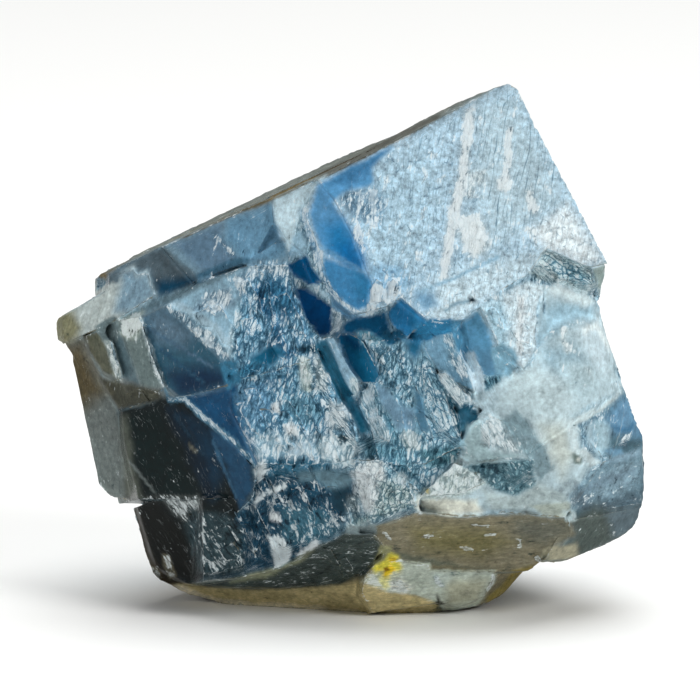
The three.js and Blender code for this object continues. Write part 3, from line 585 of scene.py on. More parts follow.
        (-9, -21.4), (-4, -21.6), (-1.2, -24.2), (-5, -26.6), (-9, -26)]),
    "lower centre, white drop": ("bruised", "#BBD0D8", 0.35, [
        (-11.3, -25), (-9, -25.2), (-7.8, -27.2), (-8.6, -29.2), (-9.8, -29.6), (-10.4, -28)]),
    "lower centre, white rim": ("bruised", "#F4FAFC", 0.4, [
        (-7, -27.8), (-4.6, -25.8), (-3.8, -26.6), (-6, -28)]),
    "lower centre, white seam": ("bruised", "#CEE0E6", 0.3, [
        (-13, -20.6), (-10.4, -18.6), (-8.6, -18), (-9, -18.8), (-11.4, -19.6), (-12.6, -20.8)]),
    "white crystal, left": ("bruised", "#DCEEF4", 0.35, [
        (-13.2, -16), (-11.6, -14.8), (-11, -16.2), (-12.4, -17.6)]),
    "white crystal, low": ("bruised", "#FAFDFE", 0.3, [
        (-10.8, -22), (-9.6, -22.2), (-9.4, -23.2), (-10.6, -23)]),
    "snowy patch": ("snowy", "#F2FAFC", 0.5, [
        (0.2, -16.6), (2.4, -14.6), (4.4, -15.4), (5, -18), (4.2, -20), (3.6, -22.6), (1.6, -21.6),
        (0.8, -19.4)]),
    "streaky foot": ("flaky", "#B0C6C6", 0.6, [
        (3.8, -18), (5.4, -17.6), (8.8, -19), (9, -21), (6.4, -22.2), (2.6, -23.4), (0, -24.6),
        (0.4, -22.6), (3.2, -22.4)]),
    "grey cleft": ("sparse", "#788A90", 0.5, [
        (-0.2, -19.6), (1, -19.4), (1.6, -21.6), (0.6, -22.8), (-0.4, -21.6)]),
    # deep blue notches and slabs
    "upper notch": ("clear", "#004C78", 0.18, [
        (-8.3, 11.5), (-6, 12.8), (-5.2, 11.2), (-3.7, 9), (-5.5, 8.7), (-7.7, 10)]),
    "white chip by the notch": ("satin", "#B0CBD8", 0.2, [
        (-5.6, 8.6), (-4.4, 8.9), (-3.2, 7.8), (-2.6, 6.6), (-3.6, 7.2)]),
    "lower notch": ("clear", "#003C6A", 0.18, [
        (-7.5, 8.3), (-5.8, 8.3), (-3.8, 6.8), (-2.3, 5.7), (-2.4, 3.4), (-2.7, 2.2), (-4, 1.7),
        (-5.5, 3.5), (-6.8, 6.5)]),
    "ridge under the window": ("satin", "#4E7A98", 0.3, [
        (-2.4, 5.9), (-2.6, 7.2), (0.4, 5), (2.4, 5.2), (1.4, 4.3), (-0.6, 4.2)]),
    "white fang": ("snowy", "#9BB8C8", 0.25, [
        (-2.3, 5.6), (-1.4, 5.2), (-0.9, 3.9), (-1.4, 2.8), (-2.2, 2.4), (-2.4, 3.6)]),
    "deep slab": ("clear", "#146488", 0.2, [
        (-2, 2.3), (0, 2.2), (1.7, 1.5), (3.5, -1.8), (4, -3.5), (3.5, -4.6), (1.5, -4.6),
        (0, -2.5), (-1, 0)]),
    "deep slab, pale top": ("glassy", "#04365A", 1, [
        (-2, 2.3), (-0.2, 2.4), (2, 0.4), (0.4, -0.4)]),
    "thin dark slab": ("clear", "#2A7490", 0.3, [
        (-1.5, -2.7), (0, -5), (1, -7.5), (2.7, -11), (1.5, -11.5), (0, -8)]),
    "pale column": ("satin", "#91B5CA", 0.2, [
        (-4.2, 1.5), (-2.3, 2), (-0.2, -2), (1.2, -4), (1.3, -5.5), (0.5, -6.7), (-1, -4.5),
        (-2.5, -2)]),
    "pale lens": ("snowy", "#BEDCE6", 0.25, [
        (0, -3.6), (1, -3.9), (1.4, -5.2), (0.6, -6.4), (-0.2, -5)]),
    "teal step": ("clear", "#0C4E74", 0.25, [
        (-0.8, 3.6), (0.6, 4.4), (2.4, 4.6), (4.8, 5.2), (5.4, 3), (5.2, 1.4), (2, 1.5), (0.6, 2.2),
        (-1, 2.4)]),
    "teal step, flaky foot": ("snowy", "#90DAF4", 0.4, [
        (1, 2.4), (2.6, 2.2), (4.6, 1.4), (2.6, 0.6), (1.6, 1)]),
    # great face
    "great face": ("crackled", "#A6C2D2", 0.12, [
        (-4.5, 22.6), (0, 24.8), (6, 28), (10, 30.1), (15, 32.9), (19, 35.2), (21.3, 37), (26, 32),
        (36, 11.4), (32, 11), (29.5, 12.2), (26.5, 13.6), (25.2, 11.6), (24, 10.1), (20.3, 8),
        (16.5, 5), (14.5, 3.3), (11, 3.3), (9.5, 4.5), (6.8, 7), (5, 5.8), (2, 4.5), (0.5, 4.6),
        (-1.2, 6), (-2.7, 7.5), (-4, 11), (-5.5, 15), (-6.5, 18)]),
    "great face, blue left": ("crackled", "#A8C6D6", 2.2, [
        (3, 24), (10, 27), (12, 20), (9, 12), (5, 10), (3, 12), (1.6, 17)]),
    "great face, right half": ("lined", "#ABC3CE", 2.5, [
        (17, 33), (22, 34), (26, 27), (29, 20), (24, 17), (19, 14), (17, 22)]),
    "great face, pale corner": ("crackled", "#D6E2E6", 1.2, [
        (24, 16), (29.5, 19.6), (33, 14), (34.6, 11.4), (31, 11.6), (26.4, 14)]),
    "great face, pale foot": ("crackled", "#BCD2DC", 1.6, [
        (12, 10), (16, 11), (24, 13), (26, 13.4), (24, 10.1), (19, 7), (14.6, 3.4), (11, 3.4),
        (10, 6)]),
    "great face, blue hollow": ("satin", "#6E98B4", 0.9, [
        (9, 8), (11.4, 7.6), (12, 6), (10.4, 5.2), (8.6, 6.4)]),
    "great face, scuffed belt": ("snowy", "#8AB0C8", 0.9, [
        (-1.8, 20.6), (-0.6, 21.8), (3.6, 22), (5, 19), (4, 16.6), (1.4, 17.4), (0, 18.6)]),
    "great face, scuffed foot": ("crackled", "#82A8C0", 0.8, [
        (3, 11.6), (7, 11.4), (8.6, 9.2), (6.6, 7.4), (3, 8), (2.4, 10)]),
    "belt crack": ("satin", "#8AAEC2", 0.15, [
        (9.4, 8), (14, 9.9), (20, 12.8), (20.3, 12.4), (14.2, 9.5), (9.6, 7.6)]),
    "lip crack": ("satin", "#7897A6", 0.15, [
        (12.6, 5.5), (14.4, 6.5), (17, 7.1), (17.1, 6.7), (14.6, 6), (12.8, 5.1)]),
    "black chip": ("clear", "#1D2B33", 0.15, [(16.1, 7.2), (17.2, 7), (17, 6.4), (16, 6.6)]),
    "long streak": ("bruised", "#BCCFD9", 0.5, [
        (15.2, 30.4), (16.6, 30.2), (16.2, 27), (15.6, 22.4), (14.9, 18.4), (13.9, 15), (13.2, 9.8),
        (12.2, 9.6), (12.5, 13.4), (13.2, 17.4), (14.2, 21.6), (14.9, 27)]),
    "long streak, head": ("bruised", "#BCCFD9", 0.6, [
        (15.4, 32.4), (16.6, 32.6), (16.6, 30), (15.4, 30)]),
    "short streak": ("bruised", "#B8CCD6", 0.5, [
        (21.2, 30), (21.9, 30), (21.8, 26), (21.6, 22), (20.6, 21.9), (20.8, 25)]),
    "white bruise": ("bruised", "#C6D6DB", 1, [
        (15.2, 17.8), (17.4, 18), (18.2, 16.4), (18.6, 14), (17, 12.6), (15.4, 13.8),
        (14.8, 15.6)]),
    "small white bruise": ("bruised", "#C8D8DE", 0.6, [
        (20, 23.2), (21.6, 23.2), (21.4, 21.8), (20.2, 21.8)]),
    "pale ring": ("snowy", "#E0F2F8", 0.5, [
        (16, 24), (18.6, 24.2), (18.6, 22.6), (17, 22.4), (16.6, 20.6), (15.6, 20.6)]),
    "right bruise": ("bruised", "#BCD0D8", 0.6, [
        (23.8, 21.4), (24.8, 21.2), (25.4, 18.8), (24.6, 18.4)]),
    # window at the great face's left
    "window": ("clear", "#5590BB", 0.45, [
        (-4.5, 22.4), (0, 24.6), (5.6, 27.4), (2.8, 24.7), (3.2, 22.6), (-1.2, 21.2), (-2.4, 20.2),
        (-0.6, 17.6), (0.5, 15), (1.3, 13), (2, 11), (0.4, 11.1), (-3.2, 13), (-4.2, 14.7),
        (-5.6, 18.2)]),
    "window, dark top": ("clear", "#3C7199", 0.7, [
        (-3.2, 22.6), (0, 24.5), (5.4, 27.3), (2.6, 24.3), (-0.4, 22.4)]),
    "window, deepening": ("clear", "#1674AA", 1.8, [
        (-3.4, 16.6), (-1, 17.6), (0.6, 14.6), (1.9, 11.2), (0.2, 11.2), (-3, 13.2)]),
    "window, deepest": ("clear", "#00649F", 1.2, [
        (-1.8, 14), (0.2, 14.6), (1.6, 12), (1.6, 11.2), (-0.4, 11.8)]),
    "window, lower": ("clear", "#3A7EAC", 0.35, [
        (-3.4, 12.4), (0.3, 11), (2, 10.4), (3, 8.6), (2.3, 6), (0.5, 5), (-2.4, 7.4), (-4, 11)]),
    "window, lower deep side": ("clear", "#2C7AA8", 1, [
        (0.4, 10.8), (2, 10.2), (2.9, 8.4), (2.2, 6.2), (0.8, 7.4)]),
    "window, seam": ("satin", "#5E92B6", 0.25, [
        (-4.4, 14.2), (-3.4, 13.2), (0.4, 11.4), (2, 10.6), (1.8, 10.9), (0.2, 11.8), (-3, 13.6)]),
    "left ridge": ("snowy", "#8EBEDD", 0.25, [
        (-6.9, 19), (-5.8, 18.6), (-5, 15.2), (-3.6, 12.6), (-3.4, 10), (-1.6, 7.2), (1.4, 5),
        (0.6, 4.5), (-2.6, 7.2), (-4.2, 10.6), (-5.6, 14.8)]),
    "window edge chips": ("bruised", "#6CA4CC", 0.5, [
        (0.6, 16.4), (1.4, 16.8), (2, 13.6), (1.5, 13), (0.9, 14.6)]),
    "knobs": ("bruised", "#98BAD0", 0.5, [
        (2.4, 6), (3, 8.6), (4, 9.2), (4.6, 8.2), (5.2, 9.6), (6.3, 9.6), (6.7, 7.8), (5.4, 6.4),
        (4.2, 6.4), (3.2, 5.2), (2.2, 5)]),
    # steps below the great face
    "blue step": ("clear", "#2876A8", 0.25, [
        (5, 5), (6.8, 6.9), (10, 4.2), (10.6, 3.2), (8.5, 2.5), (8, 1.5), (6.7, 1.6), (5.5, 3.5)]),
    "blue step, deep side": ("clear", "#206C96", 0.7, [
        (8, 5.6), (10, 4.2), (10.6, 3.2), (8.5, 2.5), (8.2, 3.4)]),
    "crevice": ("clear", "#1E5A7A", 0.2, [
        (8.6, 1.8), (9.3, 2.5), (12, 3.3), (14.4, 3.7), (14.5, 3.3), (12, 2.7), (9.6, 2)]),
    "first ledge": ("satin", "#709AB2", 0.25, [
        (9.5, 2.2), (14.3, 3.3), (15.2, 0), (17.5, -4.5), (17.5, -6), (14, -4.4), (11.8, -2.8),
        (10, 0)]),
    "first ledge, pale scuffs": ("snowy", "#7DA6BB", 0.7, [
        (12.4, 2.4), (14.2, 2.2), (14.4, -0.6), (16.8, -3.6), (15.4, -4.2), (13.4, -2)]),
    "blue ledge": ("clear", "#64A2C6", 0.25, [
        (14.3, 3.3), (17.3, 5.4), (19, 2.5), (20, -0.5), (20.8, -3.3), (18, -3.6), (17, -2.2),
        (15.2, 0)]),
    "blue ledge, deep foot": ("clear", "#5785A2", 1, [
        (17, 0), (19.6, -0.4), (20.6, -3.2), (18, -3.5)]),
    "pale wing": ("snowy", "#E4F4FA", 0.4, [
        (15.6, -0.4), (16.4, -0.4), (18, -3.8), (17.9, -6), (17, -5.6), (16.4, -3)]),
    "white ledge": ("crackled", "#BFD1D8", 0.3, [
        (17.3, 5.4), (24, 9.4), (26.4, 8.6), (25.4, 6), (25.2, 0), (24.3, -1.5), (23.5, -2.9),
        (22, -1.5), (20.2, -0.6), (19, 2.5)]),
    "white ledge, blue side": ("crackled", "#9DBDCB", 0.9, [
        (17.6, 5.6), (20.2, 6.8), (21.4, 4), (21.6, 0), (20.2, -0.6), (19, 2.5)]),
    "white ledge, ridge": ("snowy", "#F0F8FA", 0.35, [
        (22.8, 7), (23.6, 7.4), (23.3, 3), (23.1, -0.6), (22.5, -1.2), (22.6, 3)]),
    "pale slab": ("snowy", "#BED8E2", 0.22, [
        (11.8, -3), (13, -3), (15.5, -5.5), (17, -7), (16.5, -8.6), (15.3, -8.4), (13.5, -6.5),
        (12, -4)]),
    "black crack": ("clear", "#4A8EA6", 0.2, [
        (15.2, -9), (16.8, -8.2), (16.1, -10), (15.6, -12.6), (15, -12.9), (15.2, -11),
        (14.6, -9.4)]),
    "dark patch": ("sparse", "#70A0B2", 0.3, [
        (18, -3.7), (20.9, -3.4), (20.4, -4.6), (18.8, -5.6), (17.4, -6.9), (17.6, -5.6)]),
    # the rough triangle at the right
    "rough facet": ("flaky", "#E4FAFC", 0.3, [
        (24.1, 10.5), (25.4, 11.8), (26.5, 13.6), (30, 12), (32.3, 11), (33.4, 8.5), (32, 7.6),
        (28, 9.2), (25.5, 9.5)]),
    "rough facet, slate heart": ("flaky", "#88BACA", 0.8, [
        (26.4, 12.8), (30.4, 11.2), (32.6, 9.4), (31.4, 8.4), (28.4, 10)]),
    "small grey facet": ("satin", "#849693", 0.25, [
        (32.8, 11), (35, 11.8), (34.9, 8.3), (33.9, 6.7), (33.4, 8.9)]),
    # the frosted lump
    "lump": ("milky", "#A6BBC2", 0.45, [
        (26.3, 8.4), (28, 9.1), (32, 7.6), (33.4, 6.6), (34.5, 4), (36.6, -0.4), (36, -3),
        (37.4, -5.4), (36.4, -5.6), (33, -7.6), (29.6, -9.6), (30.4, -13), (33.6, -15),
        (31.6, -17.4), (29.8, -19.8), (29.4, -22.7), (20, -22), (15, -22.6), (9.4, -21.8), (9, -20),
        (12.5, -16.5), (15, -14), (15, -12.5), (16, -9.5), (17, -8), (18, -6.4), (20.9, -3.4),
        (23.6, -2.9), (25.3, -0.2), (25.4, 5.8)]),
    "lump, blue brow": ("milky", "#8EAFBE", 1.4, [
        (26.2, 6), (28, 6.6), (33.4, 6), (33, 4), (29.6, 3.6), (27.6, 2), (26, 1)]),
    "lump, blue shade": ("milky", "#93B2C0", 1.8, [
        (26, 0), (30, 0.6), (32, -1.6), (29, -3), (26.4, -2.2)]),
    "lump, pale crest": ("milky", "#B4C7CE", 1.2, [
        (31, 4), (34, 3.4), (35, -0.4), (34.6, -3), (32.4, -1), (31, 1.6)]),
    "lump, pale middle": ("milky", "#B2C6CB", 1.8, [
        (20, -6), (26, -3), (31, -5), (30, -9), (26.4, -9.8), (22, -8)]),
    "lump, warm foot": ("milky", "#B2BCB7", 1.6, [
        (25.6, -10), (29.4, -10), (30.6, -14), (28.6, -17), (26.6, -14)]),
    "lump, top veil": ("milky", "#C2D2D5", 0.8, [
        (26.4, 8.4), (28, 9), (32, 7.6), (33.4, 6.4), (32, 6.2), (28.6, 7)]),
    "lump, veil": ("milky", "#B6CACF", 1, [
        (21, -3.4), (24, -2.2), (27.6, -4), (30, -7.4), (28, -8.4), (25, -6), (22, -6.4)]),
    "lump, ridge chips": ("snowy", "#CBDADC", 0.3, [
        (28.6, 3.2), (29.4, 3.2), (29.2, 1.4), (30.2, 0), (29.4, -0.4), (28.6, 1.4)]),
    "lump, chips below": ("snowy", "#C8D6D8", 0.3, [
        (31.6, -2.4), (32.4, -2.2), (33, -4), (32.2, -4.4)]),
    "lump, hollow": ("milky", "#A8BFC6", 1.2, [
        (28.4, -1.4), (32, -2), (34.4, -5), (31.4, -7), (29.4, -4.6)]),
    "lump, crest edge": ("milky", "#D0DDDF", 0.4, [
        (31.4, 3), (33.6, 4), (35.6, 0.4), (35, 0), (33.4, 2.8), (31.6, 2)]),
    "pit": ("clear", "#5F706C", 0.25, [
        (29.8, -14), (30.6, -13.8), (31.4, -14.6), (31.2, -15.4), (30.4, -15.4), (30.2, -14.6)]),
    "pit, grain": ("rind", "#C9CFC9", 0.15, [
        (30.7, -14.6), (31.1, -14.7), (31, -15.1), (30.6, -15)]),
    "lip": ("milky", "#94ADB2", 0.3, [
        (15, -12.5), (16, -9.5), (17, -8), (18, -10), (17.6, -12.4), (19, -13.8), (23.6, -14.2),
        (20, -14.9), (17, -15.4), (15.2, -14.2)]),
    "lip, snowy": ("snowy", "#BCD0D5", 0.5, [
        (17.6, -8.6), (20.2, -9.2), (22, -12), (23.6, -14), (20, -13.6), (17.8, -12.4)]),
    "slat": ("satin", "#7B949C", 0.3, [
        (20.5, -9.6), (22.4, -8), (24, -9.5), (26, -13), (27.4, -16), (25.6, -17.8), (24.3, -15),
        (22, -12.2)]),
    "teal band, right": ("sparse", "#688F9A", 0.3, [
        (15.8, -15.6), (20, -15), (24.5, -14.9), (25, -18.2), (22.4, -19.6), (20, -19),
        (17.6, -17.4)]),
    "snowy lip": ("snowy", "#CEDEDB", 0.35, [
        (9, -19.8), (12.4, -16.7), (14, -15.2), (16, -16), (18.6, -18), (15.4, -19.6),
        (10, -20.2)]),
    "grey-green lip": ("milky", "#D8DBCF", 0.5, [
        (9, -20.2), (12, -19.9), (17, -20.4), (18, -22), (13, -22.5), (9, -21.6)]),
    "streaky lip": ("milky", "#A4B5B7", 0.5, [
        (18, -19), (22.6, -19.8), (25.4, -18), (29, -19.6), (29.6, -21.4), (24, -21.6),
        (19, -21.8)]),
    "pale lip": ("milky", "#9CA79F", 0.3, [(24.4, -21), (29.8, -20.6), (29.6, -22.8), (26, -22.2)]),
    "recess": ("satin", "#94ADB8", 0.35, [(31.6, -10.1), (33, -9.9), (33, -13.4), (32, -12.8)]),
    "recess, right": ("milky", "#95B1BC", 0.5, [
        (33, -9.6), (35, -9.6), (35.2, -13.6), (33.4, -14.6)]),
    "ridge": ("milky", "#B0C0C3", 0.35, [
        (29.4, -9.7), (33, -7.9), (36.6, -5.4), (37.2, -6), (33.6, -8.6), (30.8, -10.2),
        (31.4, -13), (34.4, -15.2), (32.6, -15.6), (30, -13)]),
    # right-bottom face
    "corner face": ("satin", "#466774", 0.45, [
        (36.8, -6), (34, -8.6), (35.2, -10), (35.2, -13.6), (34.6, -15.2), (32.4, -17.2),
        (30.2, -20), (29.8, -22.8), (26, -28), (29.5, -30), (38, -27), (42, -20), (42, -10),
        (38.6, -5.4)]),
    "corner face, blue top": ("satin", "#5E88A4", 1, [
        (36.8, -6.4), (34.4, -9), (35.6, -11.4), (40.6, -12), (39, -7)]),
    "corner face, blue chips": ("clear", "#3C6C8C", 0.3, [
        (35.2, -10.2), (37.4, -10.4), (38.8, -9.6), (37.8, -11.2), (36, -11)]),
    "corner face, blue chips below": ("clear", "#6089A2", 0.3, [
        (34.2, -13.6), (36.4, -13.2), (37.6, -14.4), (35.2, -14.2)]),
    "corner face, flecks": ("speckled", "#7E99A6", 1.8, [
        (32.4, -17), (36, -15), (39.6, -14.4), (39.4, -18), (36.4, -20.4), (31, -21)]),
    "corner face, pale chips": ("snowy", "#6C90A4", 0.3, [
        (36.6, -11.6), (37.6, -11.2), (37.4, -13), (36.4, -13)]),
    "corner face, dark band": ("speckled", "#566C78", 0.9, [
        (30.4, -18), (33, -20.4), (36, -20.2), (39.4, -18.8), (39.4, -20.6), (36, -22), (32, -22.4),
        (30, -20.6)]),
    "corner face, pale streak": ("satin", "#6D8694", 0.5, [
        (31.6, -18.8), (34.4, -17), (38.6, -15.8), (38.8, -16.6), (35, -17.8), (32, -19.6)]),
    "corner face, upper streak": ("satin", "#86A2B2", 0.4, [
        (34, -15.4), (37, -13.8), (39.2, -13.4), (39.2, -14), (36, -15)]),
    "corner face, grey foot": ("satin", "#424E4A", 1, [
        (29.8, -22.8), (33, -21), (39, -22), (38, -25.6), (31, -28.4), (28.4, -27.2), (30.2, -25)]),
    "corner face, blue foot": ("satin", "#50626A", 0.9, [
        (34.6, -22), (39.6, -20.6), (38.6, -24.6), (35.6, -25.6)]),
    "corner foot, pale": ("milky", "#98957F", 0.5, [
        (25.6, -27.2), (27.4, -26), (30.6, -26.4), (31, -28.6), (27, -29)]),
    # underside
    "olive slope": ("rind", "#86806A", 0.4, [
        (2.5, -24.4), (5, -23.4), (7.4, -22.6), (9, -22), (15, -22.7), (20, -22.3), (24, -22.2),
        (29.7, -23), (30.4, -25), (27.4, -26.4), (25.7, -27.4), (26, -28.6), (24.5, -30.6),
        (19.8, -29.8), (10.7, -28.9), (7.4, -28.5), (5, -27.4), (3.6, -26)]),
    "olive slope, warm": ("rind", "#79734F", 1.6, [
        (8, -24), (18, -24), (22, -26), (18, -28), (9, -27)]),
    "olive slope, grey right": ("rind", "#68695D", 1.4, [
        (22, -22.8), (29.8, -23), (30, -25), (26, -26.4), (22, -25)]),
    "olive slope, blue foot": ("rind", "#676B5C", 0.5, [
        (5.4, -27.2), (10, -27.8), (15, -29.2), (19.6, -29.6), (10.7, -29.2), (6.6, -28.4)]),
    "slope fleck, long": ("crumbly", "#A2935F", 0.12, [
        (14.4, -26.6), (15.6, -26.5), (16.8, -27), (16.7, -27.4), (15.4, -27.1)]),
    "slope fleck, high": ("crumbly", "#8F875E", 0.12, [
        (17.8, -24.9), (19.6, -24.7), (19.8, -25.1), (18.2, -25.2)]),
    "slope fleck, top": ("crumbly", "#8A8262", 0.12, [
        (16.2, -23.5), (18.8, -23.7), (18.8, -24), (16.6, -23.9)]),
    "slope fleck, ring": ("crumbly", "#9C987C", 0.12, [
        (22.4, -25.4), (23.2, -25.6), (23.3, -26.4), (22.6, -27), (22.8, -26.2)]),
    "slope fleck, right": ("crumbly", "#7A6C46", 0.15, [
        (24.8, -27.6), (25.6, -28), (25.8, -28.8), (25.2, -28.6)]),
    "slope fleck, left": ("crumbly", "#887E5E", 0.12, [
        (4.4, -24.6), (5.2, -24.8), (5.6, -25.8), (5, -25.6)]),
    "slope fleck, middle": ("crumbly", "#857A56", 0.1, [
        (9.4, -25.2), (11, -25), (11.2, -25.3), (9.8, -25.5)]),
    "hem fleck, left": ("crumbly", "#B4AC90", 0.15, [
        (-17.6, -32.7), (-16.2, -32.8), (-16.4, -33.4), (-17.4, -33.3)]),
    "hem fleck, middle": ("crumbly", "#B4AC90", 0.15, [
        (-8.8, -32.9), (-7, -32.8), (-7.2, -33.3), (-8.4, -33.5)]),
    "hem fleck, right": ("crumbly", "#B4AC90", 0.2, [
        (-0.8, -33.8), (0.6, -34), (0.2, -34.8), (-0.6, -34.6)]),
    "hem fleck, last": ("crumbly", "#B4AC90", 0.15, [
        (7, -34.2), (8.2, -34.1), (8, -34.7), (7.2, -34.7)]),
    "speckled slope": ("speckled", "#3A4644", 0.3, [
        (-22, -31.6), (-18, -31.3), (-14, -30.8), (-9.8, -29.5), (-5, -26.9), (-1, -24.9),
        (2.6, -24.2), (5, -27.2), (2, -30.2), (-1.6, -31.7), (-10, -32.5), (-18, -32.2)]),
    "speckled slope, olive edge": ("rind", "#94987C", 0.5, [
        (-16, -31.4), (-9.8, -29.5), (-5, -27.2), (-7, -28.8), (-12, -31)]),
    # The hem's olive rind and its rim are painted lighter: painted light for the light that the
    # table throws up under the stone.
    "olive hem": ("rind", "#C4B484", 0.35, [
        (-25, -31.4), (-22, -31.8), (-18, -32.2), (-10, -32.5), (-2, -31.8), (1.4, -31.1),
        (5, -32.6), (9, -33), (12, -34.2), (10, -38), (-22, -36)]),
    "olive hem, painted-light rim": ("rind", "#F2E6C8", 0.4, [
        (-28, -28), (-26, -31), (-18, -33.8), (-4, -34.8), (3, -35.6), (3, -37), (-20, -35.6),
        (-30, -30)]),
    "base block": ("satin", "#B4BEB2", 0.25, [
        (5, -31), (6.8, -28.5), (10.7, -28.9), (10.8, -29.8), (19.8, -29.9), (19.6, -31.4),
        (18.2, -33.4), (16, -36), (13, -36), (11.8, -34.2), (9, -33.1), (5, -32.6)]),
    "base block, olive": ("milky", "#A8AA96", 0.9, [
        (13, -31.4), (18.6, -31), (17.4, -34), (13, -35)]),
    "base block, pale": ("satin", "#B0BCB4", 0.5, [
        (11, -30), (14, -30.2), (13, -31.8), (11.4, -31.4)]),
    "base shadow": ("rind", "#827A62", 0.4, [
        (19.8, -30), (22, -30.2), (20.6, -32), (18.6, -33.6), (18.2, -33.2), (19.5, -31.4)]),
    "base rim": ("rind", "#8F8046", 0.4, [
        (22, -29.8), (25.6, -29), (22, -33), (19, -35), (18.4, -33.6), (20.6, -32)]),
    "base block, arc": ("bruised", "#A5AA9C", 0.12, [
        (18.2, -32.4), (18.9, -31.6), (19.3, -30.4), (19.6, -30.4), (19.2, -31.8), (18.5, -32.7)]),
    "base block, scratches": ("crumbly", "#9CAEAE", 0.15, [
        (11, -30.4), (11.8, -30.6), (12.6, -32), (12.2, -32.2), (11.4, -31.2)]),
    "base block, white foot": ("snowy", "#F4F4E6", 0.4, [
        (5.4, -31.2), (6.8, -31), (8.4, -32.2), (7.6, -32.8), (5.6, -32.4)]),
    "base crack": ("clear", "#34342E", 0.12, [
        (11.7, -32.8), (12, -32.8), (12.2, -33.8), (13, -34.4), (11.3, -34.5), (11.8, -33.8)]),
    # left: dark clear faces. Their near-black is partly the deep blue of the clear stone and partly
    # painted shade and painted dark reflection of the shaded left side.
    "seam face": ("scuffed", "#104468", 0.35, [
        (-22.6, -6.4), (-20, -5.9), (-15.4, -4.6), (-14, -9), (-12.8, -13), (-12.6, -16.2),
        (-13.6, -14.4), (-16, -12), (-20, -9)]),
    "seam face, pale edge": ("snowy", "#6195B5", 0.7, [
        (-15.6, -6), (-14.6, -7), (-13, -12.4), (-12.8, -15), (-14, -12), (-15, -8.6)]),
    "dark faces": ("scuffed", "#0B1618", 0.4, [
        (-31.3, -8.2), (-27, -7.2), (-24.6, -6.4), (-22.5, -6.7), (-20, -9.2), (-16, -12.2),
        (-13.6, -14.8), (-13, -17), (-13.4, -20), (-15, -22), (-19, -30.8), (-22, -31.8),
        (-26.8, -31), (-31, -24), (-30, -20.4), (-30.3, -17), (-31, -12)]),
    "dark faces, night blue": ("scuffed", "#07283C", 1.5, [
        (-24, -8), (-20, -9.6), (-17.4, -12), (-17, -17), (-18.6, -20), (-21, -14)]),
    "dark faces, blue slab": ("glassy", "#1C4562", 0.4, [
        (-18.9, -10.8), (-16, -12.2), (-13.6, -14.8), (-13.2, -18.6), (-14.2, -20.8), (-15, -21.4),
        (-16.6, -16)]),
    "dark faces, black heart": ("scuffed", "#031617", 1.2, [
        (-30, -9), (-26, -8), (-23, -14), (-21, -19.6), (-27, -19.6), (-29.4, -14)]),
    "bright seam": ("crumbly", "#6AA6C6", 0.3, [
        (-25, -5), (-24.5, -6.2), (-23.7, -6.6), (-22.3, -6.3), (-20, -8.6), (-16, -11.8),
        (-13.6, -14.2), (-12.9, -15.7), (-13.7, -14.9), (-16.2, -12.4), (-20.2, -9.3),
        (-22.4, -6.9), (-24.4, -7)]),
    "cross seam": ("snowy", "#414745", 0.16, [
        (-28.4, -19.9), (-25.6, -19.7), (-20.5, -19.7), (-19.8, -20.1), (-23, -20.2),
        (-28.2, -20.3)]),
    "frosted corner": ("snowy", "#5F6665", 0.5, [
        (-25.6, -20), (-20.6, -20), (-20.2, -21.6), (-21.6, -23.4), (-23.6, -22)]),
    "lower slate face": ("fibrous", "#34484E", 0.8, [
        (-21.6, -21.6), (-17, -22.4), (-14.6, -24), (-14, -30.4), (-19, -31), (-21.6, -29),
        (-22.4, -25)]),
    "lower black face": ("scuffed", "#060B09", 0.8, [
        (-29, -21), (-25.8, -20.6), (-22.8, -24), (-20.6, -28.6), (-21, -31), (-26, -30),
        (-28, -26)]),
    "lower left rim": ("rind", "#2E2618", 0.7, [
        (-30, -21), (-28.8, -21.4), (-27.2, -27), (-25.2, -30.4), (-23, -31.6), (-26, -32.4),
        (-29, -28)]),
    "white smear, left": ("snowy", "#746F5C", 0.3, [
        (-25.2, -27.6), (-24.4, -28), (-23.6, -30.6), (-24.4, -31), (-25, -29.4)]),
    "grey smears": ("snowy", "#4E4424", 0.3, [
        (-27.2, -29), (-26, -29.6), (-25.4, -31), (-26.4, -30.8)]),
    "dark faces, veil": ("scuffed", "#051B2A", 0.9, [
        (-24.6, -8), (-22.6, -9), (-19.6, -15), (-18, -20), (-19.4, -20), (-21.6, -15)]),
    "dark faces, left veil": ("scuffed", "#4E544C", 0.7, [
        (-31, -9), (-30, -9), (-29.4, -15), (-28, -20), (-30.4, -20), (-30.6, -15)]),
    "scratch on the slab": ("satin", "#2F5671", 0.1, [
        (-18.4, -12), (-15.2, -20), (-15.4, -20.2), (-18.8, -12.4)]),
    "scratch on the night blue": ("satin", "#142F40", 0.1, [
        (-23.6, -8.4), (-19.4, -14.4), (-19.6, -14.7), (-23.9, -8.9)]),
    "scratch on the blue face": ("satin", "#46667D", 0.1, [
        (-27.4, 3.2), (-18.4, -2.2), (-18.6, -2.5), (-27.5, 2.8)]),
    "low scratch on the blue face": ("satin", "#214962", 0.1, [
        (-25.6, 0.4), (-19.6, -4.4), (-19.8, -4.7), (-25.8, 0)]),
    "tan smear": ("satin", "#6A6A5E", 0.15, [
        (-21.7, -12.6), (-20.5, -13.8), (-20.8, -14), (-21.9, -13)]),
    "long scratch": ("satin", "#67706F", 0.1, [
        (-29.8, -14.8), (-26.2, -19.2), (-26.4, -19.4), (-30, -15.1)]),
}
